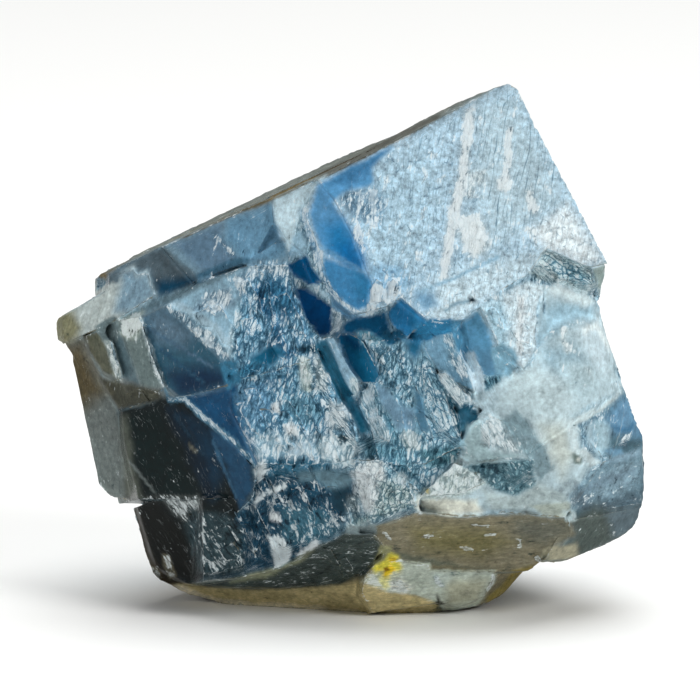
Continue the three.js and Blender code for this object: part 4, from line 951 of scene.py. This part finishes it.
# Crevices that are filled up, so that some light reaches their floor. Their colours hold
# painted light: they are lighter than the shade in them would show, and they are laid on their
# walls too, whichever way they face.
CREVICES = {
    "lump's corner": ("filled", "#B0C6CE", 0.5, [
        (16.6, -5.8), (19.8, -5.4), (20, -9), (17.6, -9.4), (16.6, -7.6)]),
    "beside the lump": ("filled", "#24566C", 0.3, [
        (14.4, -8.2), (15.6, -7.2), (16.8, -7.6), (17.2, -9), (15.8, -10), (14.9, -10.8)]),
    "under the blue ledge": ("filled", "#7BA6BA", 0.4, [
        (19.2, 0.2), (20.8, 0.8), (22.8, -1.2), (21.8, -3.6), (19.6, -3.2)]),
    "between the ledges": ("filled", "#4E86A4", 0.3, [
        (13.6, 3.8), (15.3, 4), (15.9, 0.4), (16.4, -0.8), (15.4, -1), (14.3, 0.6)]),
    "foot of the pale wing": ("filled", "#CFE4EE", 0.3, [
        (15.4, -0.6), (16.4, -0.4), (18.2, -3.8), (18, -6), (17, -5.6), (16, -3)]),
    "under the blue step": ("filled", "#2C769E", 0.3, [
        (7.6, 1.6), (9, 0.8), (12, 2.2), (14, 2.6), (13.8, 4.2), (11, 4), (9, 3.2)]),
    "under the teal step": ("filled", "#1A5270", 0.3, [
        (4.4, 2.8), (6.9, 2.6), (7.6, 1.4), (5.4, 0.4), (4.2, 1.4)]),
    "left of the pale column": ("filled", "#22607A", 0.3, [
        (-4.8, 1.2), (-3.2, 1.4), (-1.1, -3.6), (0.9, -7.2), (0.4, -8.8), (-1.8, -6),
        (-3.4, -2.4)]),
    "under the slate band": ("filled", "#3E647A", 0.3, [
        (-20.6, 9.2), (-14, 11.6), (-13.2, 12.4), (-15.4, 12.4), (-20.8, 10.2)]),
    "beside the dark blue face": ("filled", "#34708E", 0.3, [
        (-17.6, -1.6), (-15.2, -1.4), (-14.8, -4.4), (-16.6, -5.4)]),
    "under the tip": ("filled", "#68797C", 0.3, [
        (-34.4, 3.2), (-31.8, 4.4), (-30.8, 3.6), (-31.4, 1.2), (-33.4, 1.2)]),
    "above the speckled slope": ("filled", "#8C9C9E", 0.3, [
        (-0.4, -23.9), (3.4, -23.6), (3.6, -24.9), (-0.4, -25)]),
    "beside the stain": ("filled", "#94946E", 0.3, [
        (3, -29.4), (4.2, -26.4), (5.6, -26.6), (4.8, -28.8), (3.6, -30)]),
    "above the lip": ("filled", "#A8BABC", 0.3, [
        (29, -21.8), (30.4, -21.6), (30.6, -23), (29.2, -23.2)]),
}
# Some run deep into the stone, or widen there, and are first filled up to this w.
DEEP_CREVICES = {
    "at the lump's corner": (20.6, [(14, -5), (20, -5), (20, -11.2), (14, -11.2)]),
    "above the speckled slope": (14.4, [(-0.8, -24), (3.2, -24), (4, -26.2), (-0.8, -26.2)]),
    "under the tip": (8.8, [(-34.4, 0.8), (-34.4, 3.4), (-31.8, 4.3), (-31.8, 0.8)]),
    "beside the dark blue face": (16.6, [
        (-17.8, -5.2), (-15.6, -5.2), (-15.6, -2.2), (-17.8, -2.2)]),
    "above the lip": (13.3, [(28.8, -22.9), (30, -22.9), (30, -22), (28.8, -22)]),
}
# The limonite stain: a dark ochre middle, yellow round it, and a pale powdery halo.
STAIN = {
    "halo": ("snowy", "#FCFCDC", 0.5, [
        (1.4, -31.2), (3, -30.2), (4.2, -29), (6.6, -28.6), (7, -30), (5.6, -31.2), (5, -32.4),
        (2.8, -31.8)]),
    "yellow": ("rind", "#DDD24C", 0.4, [
        (3, -29.4), (4.4, -28.4), (5.4, -27.5), (6.4, -27.9), (6.2, -28.6), (7.2, -29.4),
        (6.8, -30), (5.8, -29.8), (5.2, -31.2), (4.2, -30.9), (4.4, -30), (3.4, -30.2)]),
    "greenish edge": ("rind", "#F8F4A8", 0.3, [
        (3.8, -30.6), (4.8, -31), (5.4, -31.9), (4.8, -32.3), (4, -31.4)]),
    "ochre": ("rind", "#E6C426", 0.25, [
        (3.8, -29.6), (4.6, -29.9), (5.4, -29), (6.2, -29.7), (5.6, -30.2), (5, -30.8),
        (4.4, -30.6), (4.4, -30)]),
    "ochre above": ("rind", "#C8A824", 0.2, [(5.2, -28), (6.4, -28.2), (6, -28.7), (5.2, -28.6)]),
    "rusty middle": ("rind", "#7E5E12", 0.12, [
        (4.6, -29.4), (5.1, -29.2), (5.3, -29.8), (4.9, -30.1), (4.5, -29.8)]),
    "small spot": ("rind", "#A8932C", 0.3, [
        (10, -18.5), (10.6, -18.7), (10.7, -19.5), (10.3, -19.4)]),
}
BEHIND_FRONT = -20                      # w that nothing of the front lies behind
WANDER = 0.35                           # how far borders wander, in millimetres
# The rest of the stone, which nothing marks off: top and underside with their rind, and the
# far side in the same blues as the front.
BODY = {"pale": "#A2BECC", "mid": "#628AA2", "deep": "#22506E", "milk": "#B4C4C6"}
RIND = {"olive": "#746C53", "tan": "#8F815C", "grey": "#6C7069"}


def far_side(points, normals):
    """Colour and finish where nothing is marked off. Each way of facing has tones of its own,
    read from a wide mottle at point + 16 normal, with smaller mottles over it. Weathered rind
    lies on what has long faced up or down, round the foot and on the left end."""
    u, v, _ = points.T
    facet = points + 16 * normals
    own = 0.5 + 0.8 * mottle(facet, 14, 11, 1)
    other = 0.5 + 0.8 * mottle(facet, 14, 23, 1)
    deep = rise(other + 0.3 * mottle(points, 8, 23), 0.62, 0.78)
    milk = rise(mottle(facet, 16, 29, 1) + 0.2 * mottle(points, 4, 31), 0.05, 0.25)
    colour = blend(linear(BODY["mid"]), linear(BODY["pale"]),
                   rise(own + 0.25 * mottle(points, 9, 11), 0.2, 0.8))
    colour = blend(colour, linear(BODY["deep"]), 0.8 * deep)
    colour = blend(colour, linear(BODY["milk"]), 0.7 * milk)
    cracked = rise(1 - other + 0.3 * mottle(points, 9, 41), 0.35, 0.6)
    finish = blend(FINISHES["satin"], FINISHES["crackled"], cracked)
    finish = blend(finish, FINISHES["glassy"], deep)
    finish = blend(finish, FINISHES["milky"], milk)
    finish = blend(finish, FINISHES["snowy"], rise(mottle(points, 5, 37), 0.22, 0.45))
    torn = rise(mottle(points, (10, 5, 5), 39) + 0.3 * (own - 0.5), 0.2, 0.38)
    finish = blend(finish, FINISHES["flaky"], torn)

    earth = blend(linear(RIND["olive"]), linear(RIND["tan"]),
                  rise(mottle(points, (12, 4, 4), 47), -0.4, 0.5))
    earth = blend(earth, linear(RIND["grey"]), rise(mottle(points, 5, 53), 0.1, 0.6))
    up = normals[:, 1] * math.cos(LEAN) + normals[:, 2] * math.sin(LEAN)
    top = rise(up + 0.25 * mottle(points, 6, 41), 0.55, 0.85)
    under = rise(-up + 0.3 * mottle(points, 8, 43), 0.55, 0.9)
    wander = 1.5 * mottle(points, 5, 59)
    edge = 0.9 * np.maximum(rise(wander - v, 22.5, 26), rise(wander - u, 33.5, 36))
    rind = np.maximum(np.maximum(top, under), edge)
    return blend(colour, earth, rind), blend(finish, FINISHES["rind"], rind)


def painted(points, normals):
    """Colour, finish and grain of each point. Each surface of the front is laid over the plain
    stone where it faces the camera, by how deep the point is inside its outline, with a border
    that wanders a little. The crevices are laid over whichever way they face."""
    colour, finish = far_side(points, normals)
    seen = rise(normals[:, 2], -0.02, 0.12)
    ahead = np.flatnonzero((seen > 0) | (points[:, 2] > BEHIND_FRONT))
    wander = WANDER * np.stack([mottle(points, 2.2, seed) for seed in (61, 67)])
    # As the camera shows them, points further back stand a little closer together.
    nearer = 1000 * (CAMERA_DISTANCE - FRONT_NEARER) / (1000 * CAMERA_DISTANCE - points[:, 2])
    su, sv = (points[:, :2] * nearer[:, None])[ahead].T
    for surface, (kind, tint, border, outline) in {**SURFACES, **CREVICES, **STAIN}.items():
        left, foot = np.min(outline, axis=0) - border - 1
        right, head = np.max(outline, axis=0) + border + 1
        near = np.flatnonzero((su > left) & (su < right) & (sv > foot) & (sv < head))
        at = ahead[near]
        stray = min(1.0, 2.5 * border) * wander[:, at]
        share = rise(depth_inside(outline, su[near] + stray[0], sv[near] + stray[1]),
                     -border, border)
        # The crevices' painted light lies on their walls too, whichever way they face.
        if surface not in CREVICES:
            share = share * seen[at]
        colour[at] = blend(colour[at], linear(tint), share)
        finish[at] = blend(finish[at], FINISHES[kind], share)
    # Every surface is a little uneven in tone.
    tone = 1 + 0.10 * mottle(points, 3.5, 71) + 0.06 * mottle(points, 0.9, 73)
    colour = np.clip(colour * tone[:, None], 0, 1)

    way = STEEP + (LEANING - STEEP) * rise(mottle(points, 12, 31), -0.1, 0.1)
    way[ahead] = STEEP
    for angle, outline in GRAIN:
        share = rise(depth_inside(outline, su, sv), -0.8, 0.8)
        way[ahead] = way[ahead] * (1 - share) + angle * share
    return colour, {**dict(zip(FINISH, finish.T)), "way": way}


def gathered(at, rows, count):
    """For each of count points, the sum of the rows that belong to it."""
    return np.stack([np.bincount(at, rows[:, k], count) for k in range(rows.shape[1])], axis=1)


def neighbours(triangles, count):
    """Both ends of each triangle side, and how many sides start at each point."""
    starts, ends = triangles.reshape(-1), np.roll(triangles, -1, axis=1).reshape(-1)
    return starts, ends, np.maximum(np.bincount(starts, minlength=count), 1)[:, None]


def softened(points, triangles, amount, times):
    """Moves each point part of the way to the mean of its neighbours, a few times over."""
    starts, ends, shared = neighbours(triangles, len(points))
    for _ in range(times):
        mean = gathered(starts, points[ends], len(points)) / shared
        points = points + amount[:, None] * (mean - points)
    return points


points, triangles = merged(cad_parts["calcite"].data)
points, triangles = refined(points, triangles)
across = crossed_sides(points, triangles)
normals = unit(sum(gathered(triangles[:, i], across, len(points)) for i in range(3)))
colour, finish = painted(points, normals)

# How far each point stands out over its neighbours, for a millimetre of way. Edges that stand
# out are bruised white, and the creases are painted lighter: painted light for the light that
# comes through the stone.
EDGE_WHITE = 0.55
CREASE_LIGHT = 0.4
WHITEST = 0.8                           # calcite dust is no whiter than this
starts, ends, shared = neighbours(triangles, len(points))
around = gathered(starts, points[ends], len(points)) / shared
lengths = np.linalg.norm(points[starts] - points[ends], axis=1)[:, None]
spacing = (gathered(starts, lengths, len(points)) / shared)[:, 0]
outward = ((points - around) * normals).sum(axis=1) / np.maximum(spacing, 1e-6)
chipped = 0.5 + 0.5 * mottle(points, 1.6, 97)
finish["white"] = finish["white"] + EDGE_WHITE * rise(outward, 0.06, 0.3) * chipped
crease = rise(-outward, 0.04, 0.25)[:, None]
crease = np.maximum(crease, gathered(starts, crease[ends], len(points)) / shared)
# Painted light: creases that face the front are made lighter in colour.
colour = colour * (1 + CREASE_LIGHT * crease * (normals[:, 2:] > 0))
colour = colour * np.minimum(1, WHITEST / np.maximum(colour.max(axis=1, keepdims=True), 0.01))

CREVICE_DEPTH = 10                      # how far under its floor a deep crevice is filled
for floor, outline in DEEP_CREVICES.values():
    below = (points[:, 2] > floor - CREVICE_DEPTH) & (points[:, 2] < floor)
    points[below & (depth_inside(outline, points[:, 0], points[:, 1]) > 0), 2] = floor
# Broken edges are a little blunt, the milky lumps are worn round, and the crevices are filled
# most. The resting face and what touches it stay as they are.
free = np.where(from_stone(points)[:, 2] < 1e-4, 0, 1.0)
points = softened(points, triangles, free * 0.35, 2)
points = softened(points, triangles, free * 0.6 * rise(finish["soften"], 0.3, 1), 25)
points = softened(points, triangles, free * 0.9 * rise(finish["soften"], 0.85, 1), 120)

# Splinters of cleavage, standing at different heights, lie along the two steep directions:
# about 3 mm long and 1 mm wide.
height_steep, rim_steep = splinters(along_grain(points, STEEP, 3.4, 1.1), 101)
height_lean, rim_lean = splinters(along_grain(points, LEANING, 3.0, 1.0), 211)
leaning = rise(finish["way"], 90, 102)
height = height_steep * (1 - leaning) + height_lean * leaning
rim = rim_steep * (1 - leaning) + rim_lean * leaning
splinter = height * rise(rim, 0.02, 0.25)
inward = finish["relief"] * (1 - splinter) + 0.05 * rise(mottle(points, 4, 89), -1, 1)
points = points - normals * (free * inward)[:, None]

calcite_mesh = bpy.data.meshes.new("calcite")
calcite_mesh.vertices.add(len(points))
calcite_mesh.vertices.foreach_set("co", from_stone(points).astype(np.float32).reshape(-1))
calcite_mesh.loops.add(3 * len(triangles))
calcite_mesh.loops.foreach_set("vertex_index", triangles.astype(np.int32).reshape(-1))
calcite_mesh.polygons.add(len(triangles))
calcite_mesh.polygons.foreach_set(
    "loop_start", np.arange(0, 3 * len(triangles), 3, dtype=np.int32))
calcite_mesh.update(calc_edges=True)
calcite_mesh.validate()
calcite_mesh.shade_smooth()
SHARP_FROM = math.radians(40)
calcite_mesh.set_sharp_from_angle(angle=SHARP_FROM)
tone = calcite_mesh.attributes.new("tone", "FLOAT_COLOR", "POINT")
opaque = np.concatenate([colour, np.ones((len(points), 1))], axis=1)
tone.data.foreach_set("color", opaque.astype(np.float32).reshape(-1))
finish["way"] = np.radians(finish["way"])
SEEN_FINISH = ("white", "cleft", "cells", "network", "lines", "veil", "specks", "rough", "way")
for name in SEEN_FINISH:
    layer = calcite_mesh.attributes.new(name, "FLOAT", "POINT")
    layer.data.foreach_set("value", finish[name].astype(np.float32))

# Raw calcite, broken and unpolished. The blue lies in the stone; what the eye sees on it is
# the white of splinters and bruises, which scatter the light, and fine dark cleavage cracks.
# Nothing is seen through it: it is cloudy inside, and its depth shows as colour.
raw_calcite = bpy.data.materials.new("raw blue calcite")
raw_calcite.use_nodes = True
tree = raw_calcite.node_tree
shader = tree.nodes["Principled BSDF"]
shader.inputs["IOR"].default_value = 1.58
shader.inputs["Specular IOR Level"].default_value = 0.1   # handled faces mirror little
given = {name: node(tree, "Attribute", attribute_name=name)
         for name in ("tone",) + SEEN_FINISH}
place = node(tree, "TexCoord")
stone = node(tree, "Mapping", {
    "Vector": place.outputs["Object"], "Location": MIDDLE,
    "Rotation": (math.pi / 2 - LEAN, 0, 0), "Scale": (0.001,) * 3}, vector_type="TEXTURE")

# The grain runs the way that each point is given, and waves a little.
wave = node(tree, "TexNoise", {"Vector": stone, "Scale": 0.55, "Detail": 3.0, "Roughness": 0.6})
back = node(tree, "Math", {0: given["way"].outputs["Fac"], 1: -1.0}, operation="MULTIPLY")
grain = node(tree, "VectorRotate", {"Vector": stone, "Axis": (0, 0, 1), "Angle": back},
             rotation_type="AXIS_ANGLE")
grain = node(tree, "VectorMath", {0: wave.outputs["Color"], 1: (0.9, 0.9, 0.9), 2: grain},
             operation="MULTIPLY_ADD")
# What is drawn out along the grain, with its length, width and depth in millimetres.
GRAIN_SIZES = {"fibre": (3.2, 0.36, 0.36), "cell": (2.4, 0.66, 0.66), "polygon": (1.6, 0.9, 0.9),
               "chip": (1.5, 0.7, 0.7), "scratch": (8.0, 0.8, 0.8)}
drawn = {name: node(tree, "Mapping", {"Vector": grain, "Scale": size}, vector_type="TEXTURE")
         for name, size in GRAIN_SIZES.items()}

# Splinters in clumps of 1 to 3 mm, broken into cells. Together they say how far each bit
# stands up.
fibre = node(tree, "TexNoise", {
    "Vector": drawn["fibre"], "Scale": 1.0, "Detail": 3.0, "Roughness": 0.7})
cell = node(tree, "TexVoronoi", {"Vector": drawn["cell"], "Scale": 1.0})
cell_rim = node(tree, "TexVoronoi", {"Vector": drawn["cell"], "Scale": 1.0},
                feature="DISTANCE_TO_EDGE")
standing = node(tree, "Math", {0: wave, 1: 1.5, 2: -1.25}, operation="MULTIPLY_ADD")
standing = node(tree, "Math", {0: fibre, 1: 1.6, 2: standing}, operation="MULTIPLY_ADD")
standing = node(tree, "Math", {0: cell.outputs["Color"], 1: 0.4, 2: standing},
                operation="MULTIPLY_ADD")
# White where it stands up, and dark clefts where it lies low and along the rims of the cells:
# the dark where it lies low is painted shade, and the dark along the rims is the cracks between
# the splinters. Each share is about the part of the surface that is covered. Both have borders as
# hard as SHARPNESS says, and a share of 1 is COVER up from nothing.
SHARPNESS = 4.0
COVER = 5.4
white_least = node(tree, "Math", {0: standing, 1: SHARPNESS, 2: -4.2}, operation="MULTIPLY_ADD")
white = node(tree, "Math", {0: given["white"], 1: COVER, 2: white_least},
             operation="MULTIPLY_ADD", use_clamp=True)
dark_least = node(tree, "Math", {0: standing, 1: -SHARPNESS, 2: -0.2}, operation="MULTIPLY_ADD")
dark = node(tree, "Math", {0: given["cleft"], 1: COVER, 2: dark_least},
            operation="MULTIPLY_ADD", use_clamp=True)
cell_line = node(tree, "MapRange", {"Value": cell_rim, "From Min": 0.16, "From Max": 0.04})
# A thin line runs where a noise crosses its middle: between the fibres, and as scratches.
scratch = node(tree, "TexNoise", {
    "Vector": drawn["scratch"], "Scale": 1.0, "Detail": 2.0, "Roughness": 0.6})
thin = {}
for name, noise, widest, narrowest, most in (
        ("fibre", fibre, 0.032, 0.008, 1.0), ("scratch", scratch, 0.016, 0.004, 0.5)):
    middle = node(tree, "Math", {0: noise, 1: 0.5}, operation="SUBTRACT")
    middle = node(tree, "Math", {0: middle}, operation="ABSOLUTE")
    thin[name] = node(tree, "MapRange", {
        "Value": middle, "From Min": widest, "From Max": narrowest, "To Max": most})
cell_line = node(tree, "Math", {0: cell_line, 1: thin["fibre"]}, operation="MAXIMUM")
cell_line = node(tree, "Math", {0: cell_line, 1: given["cells"]}, operation="MULTIPLY")
white = node(tree, "Math", {0: white, 1: cell_line}, operation="SUBTRACT", use_clamp=True)
dark = node(tree, "Math", {0: dark, 1: cell_line}, operation="MAXIMUM")

# Cleavage cracks: dark hairlines about 0.12 mm wide. Steep ones run side by side 0.5 to 1 mm
# apart, bend a little and break off; fainter ones part the stone into polygons of 1 to 2 mm.
CRACKS_RUN = math.radians(80)
along_cracks = {
    name: node(tree, "Mapping", {"Vector": stone, "Rotation": (0, 0, CRACKS_RUN), "Scale": size},
               vector_type="TEXTURE")
    for name, size in {"line": (9.0, 1.2, 1.2), "break": (5.0, 0.5, 0.5)}.items()}
line_bend = node(tree, "TexNoise", {
    "Vector": along_cracks["line"], "Scale": 1.0, "Detail": 2.0, "Roughness": 0.5})
line_across = node(tree, "SeparateXYZ", {0: along_cracks["line"]})
line_place = node(tree, "Math", {0: line_bend, 1: 1.3, 2: line_across.outputs["Y"]},
                  operation="MULTIPLY_ADD")
line_away = node(tree, "Math", {0: line_place, 1: 0.25}, operation="PINGPONG")
line_thin = node(tree, "MapRange", {"Value": line_away, "From Min": 0.05, "From Max": 0.015})
breaks = node(tree, "TexNoise", {
    "Vector": along_cracks["break"], "Scale": 1.0, "Detail": 2.0, "Roughness": 0.6})
line_kept = node(tree, "MapRange", {"Value": breaks, "From Min": 0.40, "From Max": 0.56})
polygon = node(tree, "TexVoronoi", {"Vector": drawn["polygon"], "Scale": 1.0},
               feature="DISTANCE_TO_EDGE")
polygon_thin = node(tree, "MapRange", {
    "Value": polygon, "From Min": 0.10, "From Max": 0.03, "To Max": 0.9})
polygon_kept = node(tree, "MapRange", {"Value": fibre, "From Min": 0.46, "From Max": 0.62})
cracks = []
for line, kept, share in ((line_thin, line_kept, "lines"), (polygon_thin, polygon_kept, "network")):
    line = node(tree, "Math", {0: line, 1: kept}, operation="MULTIPLY")
    cracks.append(node(tree, "Math", {0: line, 1: given[share]}, operation="MULTIPLY"))
crack = node(tree, "Math", {0: cracks[0], 1: cracks[1]}, operation="MAXIMUM")

# Tiny white chips, 0.1 to 0.2 mm across and drawn out along the grain, a millimetre or two
# apart, with a finer dust of chips between them: round each seed point, as far out as its own
# random size. Both come in clusters, and so do scratches up to 8 mm long down the grain.
clustered = node(tree, "MapRange", {
    "Value": wave, "From Min": 0.48, "From Max": 0.60, "To Min": 0.05})
chips = node(tree, "TexVoronoi", {"Vector": drawn["chip"], "Scale": 1.0})
dust = node(tree, "TexVoronoi", {"Vector": stone, "Scale": 1.8})
specks = []
for seeds, spread, least, edge in ((chips, 0.62, -0.38, 14.0), (dust, 0.55, -0.33, 8.0)):
    size = node(tree, "Math", {0: seeds.outputs["Color"], 1: spread, 2: least},
                operation="MULTIPLY_ADD")
    speck = node(tree, "Math", {0: size, 1: seeds}, operation="SUBTRACT")
    specks.append(node(tree, "Math", {0: speck, 1: edge}, operation="MULTIPLY", use_clamp=True))
chip, dust = specks
scuff = node(tree, "Math", {0: dust, 1: thin["scratch"]}, operation="MAXIMUM")
scuff_kept = node(tree, "MapRange", {"Value": fibre, "From Min": 0.46, "From Max": 0.64})
scuff = node(tree, "Math", {0: scuff, 1: scuff_kept}, operation="MULTIPLY")
for factor in (clustered, given["specks"]):
    chip = node(tree, "Math", {0: chip, 1: factor}, operation="MULTIPLY")
    scuff = node(tree, "Math", {0: scuff, 1: factor}, operation="MULTIPLY")
scuff = node(tree, "Math", {0: scuff, 1: 0.6}, operation="MULTIPLY")
white = node(tree, "Math", {0: white, 1: 0.85}, operation="MULTIPLY")
white = node(tree, "Math", {0: white, 1: chip}, operation="MAXIMUM")
white = node(tree, "Math", {0: white, 1: scuff}, operation="MAXIMUM", use_clamp=True)

# The stone's own tone, in faint clouds and veils, with painted light and shade: lighter where
# the splinters stand up and darker where they lie low. It is darkened in the clefts, partly
# painted shade, and in the cracks, and whitened on the splinters. Blue calcite takes most from
# the red, so what its tone is multiplied by there turns it to deep teal.
CLEFT_TINT = (0.05, 0.17, 0.24, 1)
CRACK_TINT = (0.10, 0.22, 0.30, 1)
FROST = "#DBE4E6"
carved = node(tree, "Math", {0: given["cleft"], 1: given["white"]}, operation="ADD")
clouds = node(tree, "TexNoise", {"Vector": stone, "Scale": 1.3, "Detail": 4.0, "Roughness": 0.7})
cloud_depth = node(tree, "Math", {0: given["network"], 1: 1.1, 2: 1.2}, operation="MULTIPLY_ADD")
veils = node(tree, "TexNoise", {
    "Vector": stone, "Scale": 0.24, "Detail": 5.0, "Roughness": 0.6, "Distortion": 1.2})
about_middle = [node(tree, "Math", {0: pattern, 1: 0.5}, operation="SUBTRACT")
                for pattern in (clouds, veils, standing)]
clouded = node(tree, "Math", {0: about_middle[0], 1: cloud_depth, 2: 1.0},
               operation="MULTIPLY_ADD")
for uneven, share in zip(about_middle[1:], (given["veil"], carved)):
    uneven = node(tree, "Math", {0: uneven, 1: share}, operation="MULTIPLY")
    clouded = node(tree, "Math", {0: uneven, 1: 1.3, 2: clouded}, operation="MULTIPLY_ADD")
seen = node(tree, "VectorMath", {0: given["tone"], 3: clouded}, operation="SCALE")
dark = node(tree, "Math", {0: dark, 1: 0.9}, operation="MULTIPLY")
seen = node(tree, "Mix", {0: dark, 6: seen, 7: CLEFT_TINT}, data_type="RGBA",
            blend_type="MULTIPLY")
seen = node(tree, "Mix", {0: white, 6: seen, 7: (*linear(FROST), 1)}, data_type="RGBA")
crack = node(tree, "Math", {0: crack, 1: 0.75}, operation="MULTIPLY")
seen = node(tree, "Mix", {0: crack, 6: seen, 7: CRACK_TINT}, data_type="RGBA",
            blend_type="MULTIPLY")
roughness = node(tree, "Math", {0: white, 1: 0.2, 2: given["rough"]}, operation="MULTIPLY_ADD")
height = node(tree, "Math", {0: standing, 1: carved}, operation="MULTIPLY")
bump = node(tree, "Bump", {"Height": height, "Strength": 0.7, "Distance": 0.0003})
for socket, source in (("Base Color", seen.outputs[2]), ("Roughness", roughness.outputs[0]),
                       ("Normal", bump.outputs["Normal"])):
    tree.links.new(source, shader.inputs[socket])
calcite_mesh.materials.append(raw_calcite)

calcite = bpy.data.objects.new("raw_calcite", calcite_mesh)
bpy.context.scene.collection.objects.link(calcite)
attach(calcite, "root")
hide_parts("calcite")
